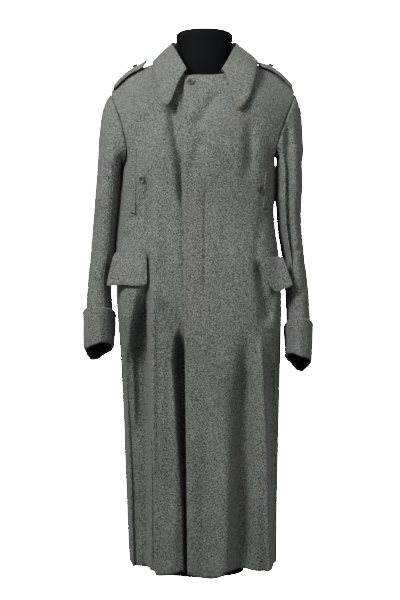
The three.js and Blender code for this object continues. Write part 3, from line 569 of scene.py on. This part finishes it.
@dataclass
class Stitching:
    """Rows of thread stitches that lie on the cloth, made as one mesh."""

    name: str
    material: Material
    pitch: float = 4.6
    length: float = 3.0
    radius: float = 0.45
    shape: bmesh.types.BMesh = field(default_factory=bmesh.new)
    count: int = 0

    def one(self, point: Vector, normal: Vector, direction: Vector) -> None:
        """Lay one stitch."""
        side = normal.cross(direction).normalized()
        ahead = side.cross(normal).normalized()
        turn = Matrix((ahead, side, normal)).transposed().to_4x4()
        radius = self.radius * MM
        sizes = Matrix.Diagonal((self.length / 2 * MM, radius, radius * STITCH_FLATNESS, 1.0))
        place = Matrix.Translation(point + normal * STITCH_SEAT * MM) @ turn @ sizes
        bmesh.ops.create_uvsphere(self.shape, u_segments=6, v_segments=4, radius=1.0, matrix=place)
        self.count += 1

    def row(self, run: list[Place]) -> None:
        """Sew along a run of places."""
        for point, normal, direction in resample(run, self.pitch):
            self.one(point, normal, direction)

    def bar(self, place: Place, direction: Vector, width: float, threads: int) -> None:
        """Sew a bar tack: threads side by side along its width.

        Args:
            place: Middle of the bar.
            direction: Along the bar.
            width: Length of the bar.
            threads: Number of threads.
        """
        middle, normal = place
        along = direction.normalized()
        for i in range(threads):
            off = (i / (threads - 1) - 0.5) * width * MM
            lean = 0.5 if i % 2 else -0.5
            self.one(middle + along * off, normal, normal.cross(along) + along * lean)

    def build(self) -> None:
        if not self.count:
            self.shape.free()
            return
        obj = finished(self.name, self.shape, self.material)
        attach(obj, ROOT)
        LOG.info("%s: %d stitches", self.name, self.count)


@dataclass
class ClothPiece:
    """One cut piece of the coat, hung on the form of its solid."""

    node: str
    name: str
    flat: tuple[float, float]
    area: float
    held: Held = Held.HUNG
    middle: Callable[[Vector], Vector] = lambda point: Vector((0.0, 0.0, point.z))
    wall: float = WALL
    levels: int = 3
    outline: Outline = Outline.SHARP
    creases: tuple[Crease, ...] = ()
    wear: tuple[Wear, ...] = ()
    edge_wear: float = 0.0
    # True gives the wall's rim the dark underside material: painted shade along the edge
    painted_shade_rim: bool = False
    sway: float = 1.3
    hold: float = 14.0
    sink: float = 2.0
    hem: Pairs = ()
    runs: tuple[EdgeRun, ...] = ()
    rests_on: tuple[str, ...] = ()
    allowance: Callable[[Vector], bool] | None = None
    lift: Callable[[np.ndarray], np.ndarray] | None = None
    surface: BVHTree | None = None

    def drape(self, mesh: Mesh) -> None:
        """Lay creases, an uneven hem and the slight unevenness of hanging cloth into the sheet."""
        places, normals = vectors_of(mesh, "co") / MM, vectors_of(mesh, "normal")
        edge = edge_distances(mesh)
        grow = np.clip(edge / self.hold, 0.0, 1.0)
        wave = np.array([unevenness(place) for place in places])
        sunk = self.sink * np.clip(1 - edge / ROLLED_EDGE, 0.0, 1.0) ** 2
        places = add_creases(self.creases, places, normals)
        places += normals * (self.sway * wave * grow - sunk)[:, None]
        if self.hem:
            across, rise = np.array(self.hem, float).T
            low = places[:, 2].min()
            share = np.clip(1 - (places[:, 2] - low) / HEM_REACH, 0.0, 1.0) ** 1.5
            places[:, 2] += np.interp(places[:, 0], across, rise) * share
        if self.lift is not None:
            places[:, 2] += self.lift(places)
        set_places(mesh, places * MM)
        add_wear(mesh, self.wear, self.edge_wear * np.clip(1 - edge / RUBBED_EDGE, 0.0, 1.0))

    def turn_in(self, mesh: Mesh) -> None:
        """Add the seam allowance that lies under the neighbouring panel.

        Args:
            mesh: The sheet.
        """
        sheet = bmesh.new()
        sheet.from_mesh(mesh)
        seam = [e for e in sheet.edges
                if e.is_boundary and all(self.allowance(v.co / MM) for v in e.verts)]
        for under, inwards in SEAM_TURNS:
            made = bmesh.ops.extrude_edge_only(sheet, edges=seam)["geom"]
            seam = [g for g in made if isinstance(g, bmesh.types.BMEdge)]
            for vert in {v for e in seam for v in e.verts}:
                away = vert.co - self.middle(vert.co)
                away.z = 0.0
                body = Vector((-math.copysign(inwards, vert.co.x), 0.0, 0.0))
                vert.co += (body - away.normalized() * under) * MM
        sheet.to_mesh(mesh)
        sheet.free()

    def lay_over(self, mesh: Mesh, under: BVHTree, gap: float) -> None:
        """Move the sheet forwards where the cloth under it would come through.

        Args:
            mesh: The sheet.
            under: Outer face of the cloth under it.
            gap: Air left between them.
        """
        need = (self.wall + gap) * MM
        for vertex in mesh.vertices:
            hit = under.ray_cast(Vector((vertex.co.x, -FAR, vertex.co.z)), Vector((0, 1, 0)))[0]
            if hit is not None and hit.y - vertex.co.y < need:
                vertex.co.y = hit.y - need
        mesh.update()

    def sew(self, mesh: Mesh, stitching: Stitching) -> None:
        """Sew this piece's edge runs.

        Args:
            mesh: The sheet.
            stitching: Where the stitches go.
        """
        sheet = bmesh.new()
        sheet.from_mesh(mesh)
        border = {v for v in sheet.verts if v.is_boundary}
        for run in self.runs:
            left = {v for v in border if run.where(v.co / MM)}
            while left:
                ends = [v for v in left
                        if sum(e.is_boundary and e.other_vert(v) in left for e in v.link_edges) < 2]
                chain = [min(ends or left, key=lambda v: v.index)]
                left.discard(chain[0])
                while True:
                    near = [e.other_vert(chain[-1]) for e in chain[-1].link_edges if e.is_boundary]
                    near = [v for v in near if v in left]
                    if not near:
                        break
                    chain.append(near[0])
                    left.discard(near[0])
                places = []
                for i, v in enumerate(chain):
                    tangent = (chain[min(i + 1, len(chain) - 1)].co - chain[max(i - 1, 0)].co).normalized()
                    inward = sum((f.calc_center_median() - v.co for f in v.link_faces), Vector())
                    inward = (inward - tangent * inward.dot(tangent)).normalized()
                    point, normal, _, _ = self.surface.find_nearest(v.co + inward * run.inset * MM)
                    places.append((point, normal if normal.dot(v.normal) > 0 else -normal))
                if len(places) > 4:
                    stitching.row(places)
        sheet.free()

    def build(self, finishes: Finishes, under: BVHTree | None = None, gap: float = 0.6) -> "ClothPiece":
        """Args:
            finishes: Materials.
            under: Outer face of the cloth that it is laid on.
            gap: Air left between them.

        Returns:
            The piece itself.
        """
        sheet = outer_sheet(self.node, self.wall, self.middle)
        piece = finished(self.name, sheet, finishes.wool, finishes.lining)
        fine = piece.modifiers.new("fine", "SUBSURF")
        fine.levels = fine.render_levels = self.levels
        fine.boundary_smooth = self.outline.value
        apply_modifiers(piece)
        self.drape(piece.data)
        if under is not None:
            self.lay_over(piece.data, under, gap)
        shape = bmesh.new()
        shape.from_mesh(piece.data)
        self.surface = BVHTree.FromBMesh(shape)
        shape.free()
        stitching = Stitching(f"{self.name}_stitching", finishes.thread)
        self.sew(piece.data, stitching)
        stitching.build()
        if self.allowance is not None:
            self.turn_in(piece.data)
        wall = piece.modifiers.new("wall", "SOLIDIFY")
        wall.thickness = self.wall * MM
        wall.offset = -1.0
        # inner faces take the dark underside material: a dark lining plus painted shade
        wall.material_offset = 1
        # a shaded rim takes the dark underside material, painted shade standing in for the shadow under the
        # edge
        wall.material_offset_rim = 1 if self.painted_shade_rim else 0
        apply_modifiers(piece)
        piece.data.shade_smooth()
        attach(piece, ROOT)
        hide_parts(self.node)
        LOG.info("%s: %d faces", self.name, len(piece.data.polygons))
        return self

    def seen_at(self, across: float, height: float) -> Place:
        """Place on the outer face that is seen straight from the front.

        Args:
            across: Across coordinate.
            height: Height.

        Returns:
            The place.
        """
        ray = Vector((0.0, 1.0, 0.0))
        point, normal, _, _ = self.surface.ray_cast(Vector((across * MM, -FAR, height * MM)), ray)
        return point, normal if normal.dot(ray) < 0 else -normal


@dataclass
class CoatBody:
    """The four panels, with the folds of the hanging skirt."""

    right_folds: tuple[Crease, ...] = (
        # beside the overlapping edge: soft at the chest, a black hollow in the skirt
        Crease(((-74, 1150, 14), (-62, 1060, 13), (-50, 985, 12), (-44, 860, 9)), -16),
        Crease(((-45, 1190, 5), (-44, 1100, 6), (-43, 980, 6), (-42, 860, 6)), -6, fade=30),
        Crease(((-43, 940, 8), (-42, 650, 7)), -3),
        Crease(((-42, 610, 8), (-44, 565, 14), (-43, 515, 20), (-38, 375, 15), (-35, 265, 11), (-32, 150, 8),
                (-31, -60, 6)), -62, sharp=4.0, fade=110),
        Crease(((-96, 660, 10), (-72, 615, 12), (-48, 570, 14)), -12, fade=30),
        Crease(((-64, 560, 9), (-62, 470, 10), (-60, 330, 10)), 7, fade=60),
        # the ridge and the deep fold behind its sharp edge
        Crease(((-113, 740, 8), (-113, 560, 9), (-114, 300, 9), (-114, -60, 9)), 12, fade=140),
        Crease(((-130, 700, 9), (-134, 600, 15), (-137, 500, 26), (-136, 330, 26), (-136, -100, 25)),
               -50, skew=0.5, sharp=4.0, fade=110),
        Crease(((-170, 600, 6), (-163, 520, 6), (-160, 440, 7), (-158, 340, 7)), 9, fade=50),
        # below the flap and at the waist
        Crease(((-128, 772, 5), (-127, 690, 7), (-130, 600, 9)), -12, fade=25),
        Crease(((-196, 640, 8), (-176, 600, 9), (-156, 540, 9)), 5, fade=40),
        Crease(((-126, 975, 8), (-125, 880, 9), (-122, 790, 10)), -8),
        Crease(((-108, 960, 12), (-104, 700, 12)), 3),
        Crease(((-186, 786, 9), (-160, 826, 9), (-134, 866, 8)), -8, fade=25),
        Crease(((-180, 826, 8), (-152, 862, 8), (-128, 910, 8)), -5, fade=25),
        Crease(((-88, 900, 15), (-80, 700, 14)), -3),
        Crease(((-96, 1130, 20), (-90, 1000, 16)), 3),
        Crease(((-76, 560, 12), (-74, 300, 12), (-74, 60, 12)), -5, fade=120),
        Crease(((-176, 420, 12), (-172, 0, 14)), -7, fade=120),
    )
    left_folds: tuple[Crease, ...] = (
        Crease(((48, 1150, 13), (10, 1096, 13), (-26, 1046, 12)), -6, fade=35),
        Crease(((20, 1060, 10), (-10, 1000, 11), (-30, 930, 10)), -4, fade=40),
        Crease(((116, 1095, 14), (117, 1010, 12), (113, 930, 12)), -8),
        Crease(((92, 1080, 14), (90, 930, 14)), 3),
        Crease(((9, 915, 3.2), (8, 800, 3.2), (8, 670, 3.2)), -4.5, fade=20),
        Crease(((60, 900, 18), (52, 700, 18)), -3),
        Crease(((126, 752, 6), (138, 712, 9), (150, 650, 13), (154, 590, 13)), -20, fade=35),
        Crease(((176, 700, 10), (168, 650, 11), (160, 590, 11)), -8, fade=35),
        Crease(((146, 860, 9), (134, 800, 10), (128, 740, 9)), -4, fade=30),
        # skirt
        Crease(((64, 380, 13), (60, 150, 14), (56, -60, 14)), 9, fade=150),
        Crease(((104, 600, 14), (104, 400, 18), (100, 200, 21), (97, -60, 20)), -30, fade=150),
        Crease(((138, 580, 6), (143, 490, 6), (152, 305, 6), (164, -60, 6)), 12, sharp=1.6, fade=60),
        Crease(((157, 560, 10), (167, 305, 12), (179, -60, 12)), -26, skew=-0.45, sharp=3.0, fade=90),
        Crease(((14, 430, 14), (10, 200, 16), (6, -60, 14)), -5, fade=120),
        Crease(((-20, 330, 12), (-22, -60, 12)), 3, fade=120),
        Crease(((40, 640, 20), (34, 470, 20)), -4, fade=80),
    )
    back_folds: tuple[Crease, ...] = (
        Crease(((-6, 820, 14), (-4, 400, 13), (-2, -60, 12)), -9, Face.BACK, fade=140),
        Crease(((-70, 700, 14), (-76, 300, 16), (-80, -60, 16)), 9, Face.BACK, fade=150),
        Crease(((-112, 640, 14), (-122, 300, 17), (-126, -60, 16)), -20, Face.BACK, fade=150),
        Crease(((-38, 620, 14), (-42, 300, 15), (-44, -60, 14)), -10, Face.BACK, fade=150),
        Crease(((62, 720, 14), (70, 300, 16), (74, -60, 16)), 8, Face.BACK, fade=150),
        Crease(((106, 600, 14), (116, 300, 17), (122, -60, 16)), -22, Face.BACK, fade=150),
        Crease(((34, 560, 14), (38, 300, 14), (38, -60, 14)), -9, Face.BACK, fade=150),
        Crease(((-150, 930, 12), (-110, 860, 13), (-60, 820, 14)), -6, Face.BACK, fade=40),
        Crease(((150, 920, 12), (100, 850, 13), (50, 815, 14)), -6, Face.BACK, fade=40),
        Crease(((-128, 1090, 15), (-104, 960, 14)), -6, Face.BACK),
        Crease(((124, 1080, 15), (100, 950, 14)), -6, Face.BACK),
        Crease(((-40, 1150, 20), (-34, 980, 20)), 3, Face.BACK),
        Crease(((44, 1140, 20), (36, 970, 20)), -3, Face.BACK),
    )
    side_folds: tuple[Crease, ...] = (
        Crease(((-60, 560, 14), (-52, 200, 16), (-50, -60, 16)), -9, Face.LEFT, fade=140),
        Crease(((40, 520, 14), (48, 200, 16), (50, -60, 15)), -8, Face.LEFT, fade=140),
        Crease(((-2, 1010, 60), (-2, 900, 60), (-2, 800, 60), (-2, 740, 60)), 3.6, Face.RIGHT, fade=40),
        Crease(((-2, 1010, 60), (-2, 930, 60), (-2, 870, 60)), 3.6, Face.LEFT, fade=40),
        Crease(((36, 540, 15), (34, 200, 16), (32, -60, 16)), 5, Face.RIGHT, fade=140),
        Crease(((60, 500, 12), (64, 200, 14), (66, -60, 14)), -8, Face.RIGHT, fade=140),
    )
    front_hem: Pairs = (
        (-125, 2), (-117, 3), (-96, -2), (-72, 1), (-47, 10), (-36, 8), (-26, 6), (-5, -2), (21, -5),
        (44, -1), (54, 8), (58, 13), (91, 14), (133, 7), (170, 5))
    back_hem: Pairs = (
        (-180, 2), (-120, 6), (-80, -2), (-40, 5), (0, 8), (40, 3), (80, -3), (120, 6), (180, 1))
    fly_wear: Pairs = (
        (900, 0.22), (820, 0.3), (740, 0.34), (650, 0.3), (560, 0.2))

    def build(self, finishes: Finishes) -> dict[str, ClothPiece]:
        """Make the panels.

        Args:
            finishes: Materials.

        Returns:
            The panels by node.
        """
        def hem(point: Vector) -> bool:
            return point.z < 40

        def front_edge(point: Vector) -> bool:
            return point.x < -25 and point.z < 1184

        strip = tuple(Wear(-33, z, (5, 55), strength) for z, strength in self.fly_wear)
        worn = {"front_right": (Wear(-150, 1000, (30, 40), 0.1), Wear(-120, 700, (60, 60), 0.08)),
                "front_left": strip + (Wear(162, 993, (16, 26), 0.3), Wear(0, 1150, (60, 20), 0.1))}
        panels = {}
        for node, name, flat, area, folds, hem_line in (
                ("back_right", "back_panel_right", (0.30, 1.26), 0.32, self.back_folds, self.back_hem),
                ("back_left", "back_panel_left", (0.30, 1.26), 0.32, self.back_folds, self.back_hem),
                ("front_right", "front_panel_right", (0.40, 1.27), 0.42, self.right_folds, self.front_hem),
                ("front_left", "front_panel_left", (0.38, 1.27), 0.40, self.left_folds, self.front_hem)):
            runs = (EdgeRun(HEM_INSET, hem),)
            if node == "front_left":
                runs += (EdgeRun(7, front_edge),)
            panels[node] = ClothPiece(node, name, flat, area, creases=folds + self.side_folds, hem=hem_line,
                                      wear=worn.get(node, ()), runs=runs, rests_on=("form_torso",))
            panels[node].build(finishes)
        self.sew_fly(finishes, panels["front_left"])
        return panels

    def sew_fly(self, finishes: Finishes, panel: ClothPiece) -> None:
        """Sew the line that holds the hidden buttonhole strip, with its bar tack."""
        fly = Stitching("fly_stitching", finishes.thread, pitch=4.2)
        fly.row([panel.seen_at(8.5, z) for z in range(912, 672, -6)])
        fly.bar(panel.seen_at(9, 753), Vector((1, 0, -0.2)), 9, 6)
        fly.build()


@dataclass
class Sleeve:
    """One two-piece sleeve with its turned-back cuff."""

    side: str
    sign: float
    top_folds: tuple[Crease, ...]
    under_folds: tuple[Crease, ...]
    cuff_folds: tuple[Crease, ...]
    lower_end: Pairs

    def middle(self, point: Vector) -> Vector:
        """Point of the sleeve's middle line level with a point."""
        share = (1.05 - point.z) / 0.53
        return Vector((self.sign * (0.213 + 0.032 * share), -0.032 * share, point.z))

    def build(self, finishes: Finishes) -> None:
        """Make both sleeve pieces and the cuff."""
        def armhole(point: Vector) -> bool:
            return point.z > 940

        top = ClothPiece(f"sleeve_{self.side}_top", f"sleeve_top_{self.side}", (0.26, 0.68), 0.128,
                         middle=self.middle, creases=self.top_folds, sway=2.0, allowance=armhole,
                         hem=self.lower_end,
                         wear=tuple(Wear(-40, 620, (60, 120), 0.12, face)
                                    for face in (Face.LEFT, Face.RIGHT)))
        under = ClothPiece(f"sleeve_{self.side}_under", f"sleeve_under_{self.side}", (0.17, 0.54), 0.078,
                           middle=self.middle, creases=self.under_folds, sway=1.5, hem=self.lower_end)

        def cuff_top(point: Vector) -> bool:
            return point.z > 585

        cuff = ClothPiece(f"cuff_{self.side}", f"cuff_turned_{self.side}", (0.39, 0.096), 0.0365, Held.FOLDED,
                          middle=self.middle, creases=self.cuff_folds, sway=2.6, hold=12, edge_wear=0.15,
                          hem=self.lower_end,
                          wear=(Wear(self.sign * 250, 600, (30, 12), 0.25),), runs=(EdgeRun(6, cuff_top),))
        for piece in (top, under, cuff):
            piece.build(finishes)


@dataclass
class Collar:
    """Turned-down collar, its stand and fall in one wall."""

    tip_length: float = 10.0
    tips_below: float = 1180.0
    tips_reach: float = 50.0
    folds: tuple[Crease, ...] = (
        Crease(((-98, 1190, 12), (-92, 1130, 12)), -2, fade=25),
        Crease(((92, 1200, 12), (96, 1140, 12)), -2, fade=25),
    )

    def reach_down(self, places: np.ndarray) -> np.ndarray:
        """Let the tips hang to their full length: the finer outline would cut them short."""
        share = np.clip((self.tips_below - places[:, 2]) / self.tips_reach, 0.0, 1.0)
        return -self.tip_length * smooth_step(share)

    def build(self, finishes: Finishes) -> None:
        """Make the collar and its edge stitching."""
        def free_edge(point: Vector) -> bool:
            return Vector((point.x - 8, point.y + 10)).length > 92 and point.z < 1245

        ClothPiece("collar", "collar_leaf", (0.58, 0.13), 0.072, Held.FOLDED,
                   middle=lambda point: Vector((0.008, -0.005, 1.15)), levels=2, outline=Outline.ROUNDED,
                   creases=self.folds, sway=0.6, sink=0.0, edge_wear=0.3, lift=self.reach_down,
                   wear=(Wear(90, 1120, (20, 24), 0.2), Wear(-84, 1116, (18, 14), 0.06)),
                   runs=(EdgeRun(5.5, free_edge),)).build(finishes)


@dataclass
class Pockets:
    """Hip pocket flaps, and the upright chest pockets with their welts and bar tacks."""

    right_tacks: Pairs = ((-155, 1016), (-157, 856))
    left_tacks: Pairs = ((160.5, 967), (155, 866))
    flap_edge: float = 744.0

    def build(self, finishes: Finishes, panels: dict[str, ClothPiece]) -> None:
        """Make flaps, welts and tacks.

        Args:
            finishes: Materials.
            panels: The coat's panels.
        """
        for side, flat, area in (("right", (0.105, 0.092), 0.0085), ("left", (0.088, 0.098), 0.0066)):
            under = panels[f"front_{side}"].surface
            ClothPiece(f"pocket_flap_{side}", f"flap_{side}", flat, area, outline=Outline.ROUNDED, sway=1.6,
                       hold=10, sink=0.6, edge_wear=0.2,
                       runs=(EdgeRun(5, lambda p: p.z < self.flap_edge),)).build(finishes, under, 0.8)
        for side, flat, area in (("right", (0.016, 0.158), 0.0021), ("left", (0.016, 0.094), 0.00125)):
            ClothPiece(f"pocket_welt_{side}", f"welt_{side}", flat, area, wall=WELT_WALL, sway=0.1,
                       sink=0.6, edge_wear=0.2).build(finishes, panels[f"front_{side}"].surface, 0.3)
        tacks = Stitching("pocket_tacks", finishes.tack, length=5.0, radius=0.7)
        for x, z in self.right_tacks:
            tacks.bar(panels["front_right"].seen_at(x, z), Vector((1, 0, 0.1)), 22, 16)
        for x, z in self.left_tacks:
            tacks.bar(panels["front_left"].seen_at(x, z), Vector((1, 0, 0)), 9, 6)
        tacks.build()


@dataclass
class Straps:
    """Shoulder straps along the shoulder seams: places across the coat, then heights off the shoulder."""

    coat_middle: float = 5.0
    tip_end: float = 144.0
    tip_reach: float = 18.0
    arch_top: float = 178.0
    arch_half: float = 42.0
    lowest: float = 3.0
    arch_height: float = 6.5
    curl_height: float = 3.0

    def rise(self, places: np.ndarray) -> np.ndarray:
        """How far a strap stands off the shoulder: most in its middle, and where its tip curls up."""
        reach = np.abs(places[:, 0] - self.coat_middle)
        curl = np.clip((self.tip_end - reach) / self.tip_reach, 0.0, 1.0) ** 1.5
        arch = np.clip(1.0 - ((reach - self.arch_top) / self.arch_half) ** 2, 0.0, 1.0)
        return self.lowest + self.arch_height * arch + self.curl_height * curl

    def build(self, finishes: Finishes) -> dict[str, ClothPiece]:
        """Make the straps and give them by side."""
        made = {}
        for side in ("right", "left"):
            strap = ClothPiece(f"shoulder_strap_{side}", f"strap_{side}", (0.046, 0.11), 0.0045, Held.DRAPED,
                               middle=lambda point: Vector((point.x * 0.9, point.y * 0.5, 0.9)),
                               wall=STRAP_WALL,
                               # the strap's rim is dark: painted shade of the shadowed gap under the lifted
                               # strap
                               outline=Outline.ROUNDED, sway=0.3, sink=0.5, painted_shade_rim=True, lift=self.rise,
                               runs=(EdgeRun(4, lambda p: True),),
                               rests_on=(f"front_panel_{side}", f"back_panel_{side}"))
            made[side] = strap.build(finishes)
        return made


@dataclass
class Button:
    """A sewn button with four holes and crossed thread."""

    node: str
    name: str
    radius: float
    height: float = 3.6
    hole: float = 1.05
    spacing: float = 2.1
    weld: float = 0.01
    steps: int = 40

    def build(self, finishes: Finishes, place: Place) -> None:
        """Make the button and its thread on the cloth.

        Args:
            finishes: Materials.
            place: Where it is sewn on.
        """
        point, normal = place
        turn = Vector((0, 0, 1)).rotation_difference(normal).to_matrix().to_4x4()
        seat = Matrix.Translation(point + normal * 0.5 * MM) @ turn @ Matrix.Scale(MM, 4)
        r, h = self.radius, self.height
        outline = ((0.0, 0.0), (0.78 * r, 0.0), (0.97 * r, 0.28 * h), (r, 0.55 * h), (0.96 * r, 0.86 * h),
                   (0.86 * r, h), (0.76 * r, 0.96 * h), (0.64 * r, 0.74 * h), (0.0, 0.68 * h))
        shape = bmesh.new()
        verts = [shape.verts.new((x, 0.0, z)) for x, z in outline]
        edges = [shape.edges.new(pair) for pair in zip(verts, verts[1:])]
        bmesh.ops.spin(shape, geom=verts + edges, cent=(0, 0, 0), axis=(0, 0, 1), angle=2 * math.pi,
                       steps=self.steps, use_merge=True)
        bmesh.ops.remove_doubles(shape, verts=shape.verts, dist=self.weld)
        bmesh.ops.recalc_face_normals(shape, faces=shape.faces)
        body = finished(self.name, shape, finishes.horn)
        wells = bmesh.new()
        for x in (-1, 1):
            for y in (-1, 1):
                at = Matrix.Translation((x * self.spacing, y * self.spacing, h * 0.7))
                bmesh.ops.create_cone(wells, cap_ends=True, segments=14, radius1=self.hole, radius2=self.hole,
                                      depth=h, matrix=at)
        cutter = finished(f"{self.name}_wells", wells, finishes.horn)
        cut = body.modifiers.new("wells", "BOOLEAN")
        cut.object = cutter
        apply_modifiers(body)
        bpy.data.objects.remove(cutter)
        body.data.transform(seat)
        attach(body, ROOT)
        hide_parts(self.node)
        thread = Stitching(f"{self.name}_thread", finishes.thread, length=self.spacing * 3.0, radius=0.5)
        top = seat @ Vector((0, 0, h * 0.74))
        for angle in map(math.radians, (45, 135)):
            thread.one(top, normal, turn.to_3x3() @ Vector((math.cos(angle), math.sin(angle), 0)))
        thread.build()
        LOG.info("%s: %d faces", self.name, len(body.data.polygons))


def middle_of(node: str) -> Vector:
    """Middle of a CAD node's box, in millimetres."""
    low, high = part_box(node)
    return (Vector(low) + Vector(high)) / 2 / MM


@dataclass
class DressForm:
    """The black dress form and its stand."""

    def build(self, finishes: Finishes) -> None:
        """Cover the torso and paint the stand."""
        shape = bmesh.new()
        shape.from_mesh(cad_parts["form_torso"].data)
        bmesh.ops.remove_doubles(shape, verts=shape.verts, dist=SAME_POINT * MM)
        cover = finished("form_cover", shape, finishes.jersey)
        smooth = cover.modifiers.new("smooth", "SUBSURF")
        smooth.levels = smooth.render_levels = 2
        apply_modifiers(cover)
        cover.data.shade_smooth()
        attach(cover, ROOT)
        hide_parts("form_torso")
        for node in ("form_pole", "form_base"):
            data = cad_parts[node].data
            data.materials.clear()
            data.materials.append(finishes.paint)
            LOG.info("%s: own solid", node)


@dataclass(frozen=True)
class Lamp:
    """A round lamp, in metres: its beam is in degrees, and it points at a height on the coat's middle."""

    name: str
    place: tuple[float, float, float]
    size: float
    power: float
    beam: float
    aim: float


@dataclass
class Studio:
    """Floor, white surround, lights and camera, in metres."""

    lamps: tuple[Lamp, ...] = (
        Lamp("key", (-1.3, -1.9, 2.3), 0.9, 23.5, 100, 1.2),
        Lamp("fill", (1.8, -2.4, 2.1), 2.0, 9.0, 150, 1.1),
        Lamp("back", (0.4, 2.4, 2.4), 2.0, 18.0, 160, 0.9),
    )
    glow: float = 60.0
    ambient: float = 0.34
    floor_tone: float = 0.35
    floor_size: float = 12.0
    distance: float = 3.5
    eye_height: float = 0.655
    eye_x: float = -0.0024
    lens: float = 86.4

    def build(self) -> None:
        """Make the floor, the world, the lights and the camera."""
        floor = bmesh.new()
        bmesh.ops.create_grid(floor, x_segments=1, y_segments=1, size=self.floor_size)
        material, chain, shader = new_material("floor_white")
        seen = chain.add("ShaderNodeLightPath").outputs["Is Camera Ray"]
        chain.fill(shader, Base_Color=opaque((self.floor_tone,) * 3), Roughness=1.0, Specular_IOR_Level=0.0,
                   Emission_Color=WHITE, Emission_Strength=chain.maths("MULTIPLY", seen, self.glow))
        finished("floor", floor, material)
        self.surround()
        for lamp in self.lamps:
            light = bpy.data.lights.new(lamp.name, "AREA")
            light.shape = "DISK"
            light.size = lamp.size
            light.energy = lamp.power
            light.spread = math.radians(lamp.beam)
            obj = bpy.data.objects.new(lamp.name, light)
            obj.location = lamp.place
            towards = Vector((0.0, 0.0, lamp.aim)) - Vector(lamp.place)
            obj.rotation_euler = towards.to_track_quat("-Z", "Y").to_euler()
            bpy.context.scene.collection.objects.link(obj)
        camera = bpy.data.cameras.new("camera")
        camera.lens = self.lens
        camera.sensor_width = 36.0
        obj = bpy.data.objects.new("camera", camera)
        obj.location = (self.eye_x, -self.distance, self.eye_height)
        obj.rotation_euler = (math.radians(90), 0.0, 0.0)
        bpy.context.scene.collection.objects.link(obj)
        bpy.context.scene.camera = obj

    def surround(self) -> None:
        """White surround, brighter where it is looked at than where it lights the coat."""
        world = bpy.data.worlds.new("studio")
        world.use_nodes = True
        chain = NodeChain(world.node_tree)
        light = world.node_tree.nodes["Background"]
        chain.fill(light, Color=WHITE, Strength=self.ambient)
        wall = chain.add("ShaderNodeBackground", Color=WHITE, Strength=self.glow)
        seen = chain.add("ShaderNodeLightPath").outputs["Is Camera Ray"]
        mix = chain.add("ShaderNodeMixShader")
        for index, value in ((0, seen), (1, light.outputs[0]), (2, wall.outputs[0])):
            chain.put(mix.inputs[index], value)
        chain.put(world.node_tree.nodes["World Output"].inputs["Surface"], mix.outputs[0])
        bpy.context.scene.world = world


def sleeves() -> tuple[Sleeve, Sleeve]:
    """The two sleeves with their own creases."""
    right = Sleeve("right", -1.0, (
        Crease(((0, 1150, 60), (0, 1100, 60), (0, 1000, 60)), 3, Face.RIGHT, fade=40),
        Crease(((-262, 1000, 9), (-258, 850, 10), (-262, 720, 10)), -5),
        Crease(((-238, 960, 8), (-240, 800, 9)), 3),
        Crease(((-280, 800, 8), (-246, 770, 9), (-222, 750, 8)), -4, fade=20),
        Crease(((-276, 720, 8), (-246, 700, 9), (-226, 690, 8)), -3, fade=20),
        Crease(((-60, 900, 14), (-50, 760, 14)), -7, Face.RIGHT),
        Crease(((20, 880, 14), (14, 700, 16)), -8, Face.RIGHT),
        Crease(((60, 800, 12), (20, 770, 12), (-40, 760, 12)), -6, Face.RIGHT, fade=30),
    ), (
        Crease(((0, 1010, 46), (2, 880, 46), (3, 800, 46), (0, 720, 46)), 2.6, Face.LEFT, fade=40),
    ), (
        Crease(((-262, 640, 8), (-266, 500, 10)), -3, fade=30),
        Crease(((-20, 640, 16), (-30, 500, 16)), -5, Face.RIGHT, fade=40),
        Crease(((-236, 640, 8), (-234, 500, 8)), 2, fade=30),
    ), ((-284, 2), (-270, -10), (-252, -4), (-236, 8), (-206, 16)))
    left = Sleeve("left", 1.0, (
        Crease(((0, 1150, 60), (0, 1100, 60), (0, 980, 60)), 6, Face.LEFT, fade=40),
        Crease(((207, 1100, 8), (206, 980, 9), (208, 860, 9), (216, 700, 9)), -16, sharp=2.4, fade=80),
        Crease(((229, 1080, 9), (229, 900, 9), (240, 700, 10)), 5, fade=80),
        Crease(((250, 800, 8), (232, 772, 8), (216, 760, 8)), -4, fade=20),
        Crease(((264, 700, 8), (240, 676, 9), (222, 668, 8)), -4, fade=20),
        Crease(((-50, 920, 14), (-44, 760, 15)), -7, Face.LEFT),
        Crease(((26, 880, 14), (18, 700, 16)), -8, Face.LEFT),
        Crease(((60, 790, 12), (20, 760, 12), (-40, 744, 12)), -6, Face.LEFT, fade=30),
    ), (
        Crease(((0, 1010, 46), (2, 930, 46), (3, 870, 46)), 2.6, Face.RIGHT, fade=40),
    ), (
        Crease(((246, 600, 8), (244, 470, 9)), -3, fade=30),
        Crease(((-30, 600, 16), (-40, 470, 16)), -5, Face.LEFT, fade=40),
        Crease(((216, 600, 8), (216, 470, 8)), -2, fade=30),
    ), ((202, 22), (218, 14), (236, -4), (250, -8), (268, 2)))
    return right, left


def main() -> None:
    """Build the coat, the form and the studio."""
    logging.basicConfig(level=logging.INFO, format="%(message)s")
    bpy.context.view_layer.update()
    Studio().build()
    finishes = Finishes.build()
    panels = CoatBody().build(finishes)
    for sleeve in sleeves():
        sleeve.build(finishes)
    Collar().build(finishes)
    Pockets().build(finishes, panels)
    straps = Straps().build(finishes)
    for node, name, radius, on in (("collar_button", "button_collar", 8.5, "front_left"),
                                   ("pocket_button_right", "button_pocket_right", 8.0, "front_right"),
                                   ("pocket_button_left", "button_pocket_left", 8.0, "front_left")):
        at = middle_of(node)
        Button(node, name, radius).build(finishes, panels[on].seen_at(at.x, at.z))
    for side, strap in straps.items():
        at = middle_of(f"strap_button_{side}") * MM
        point, normal, _, _ = strap.surface.ray_cast(Vector((at.x, at.y, 2 * FAR)), Vector((0, 0, -1)))
        Button(f"strap_button_{side}", f"button_strap_{side}", 7.5).build(finishes, (point, normal))
    DressForm().build(finishes)


if __name__ == "__main__":
    main()
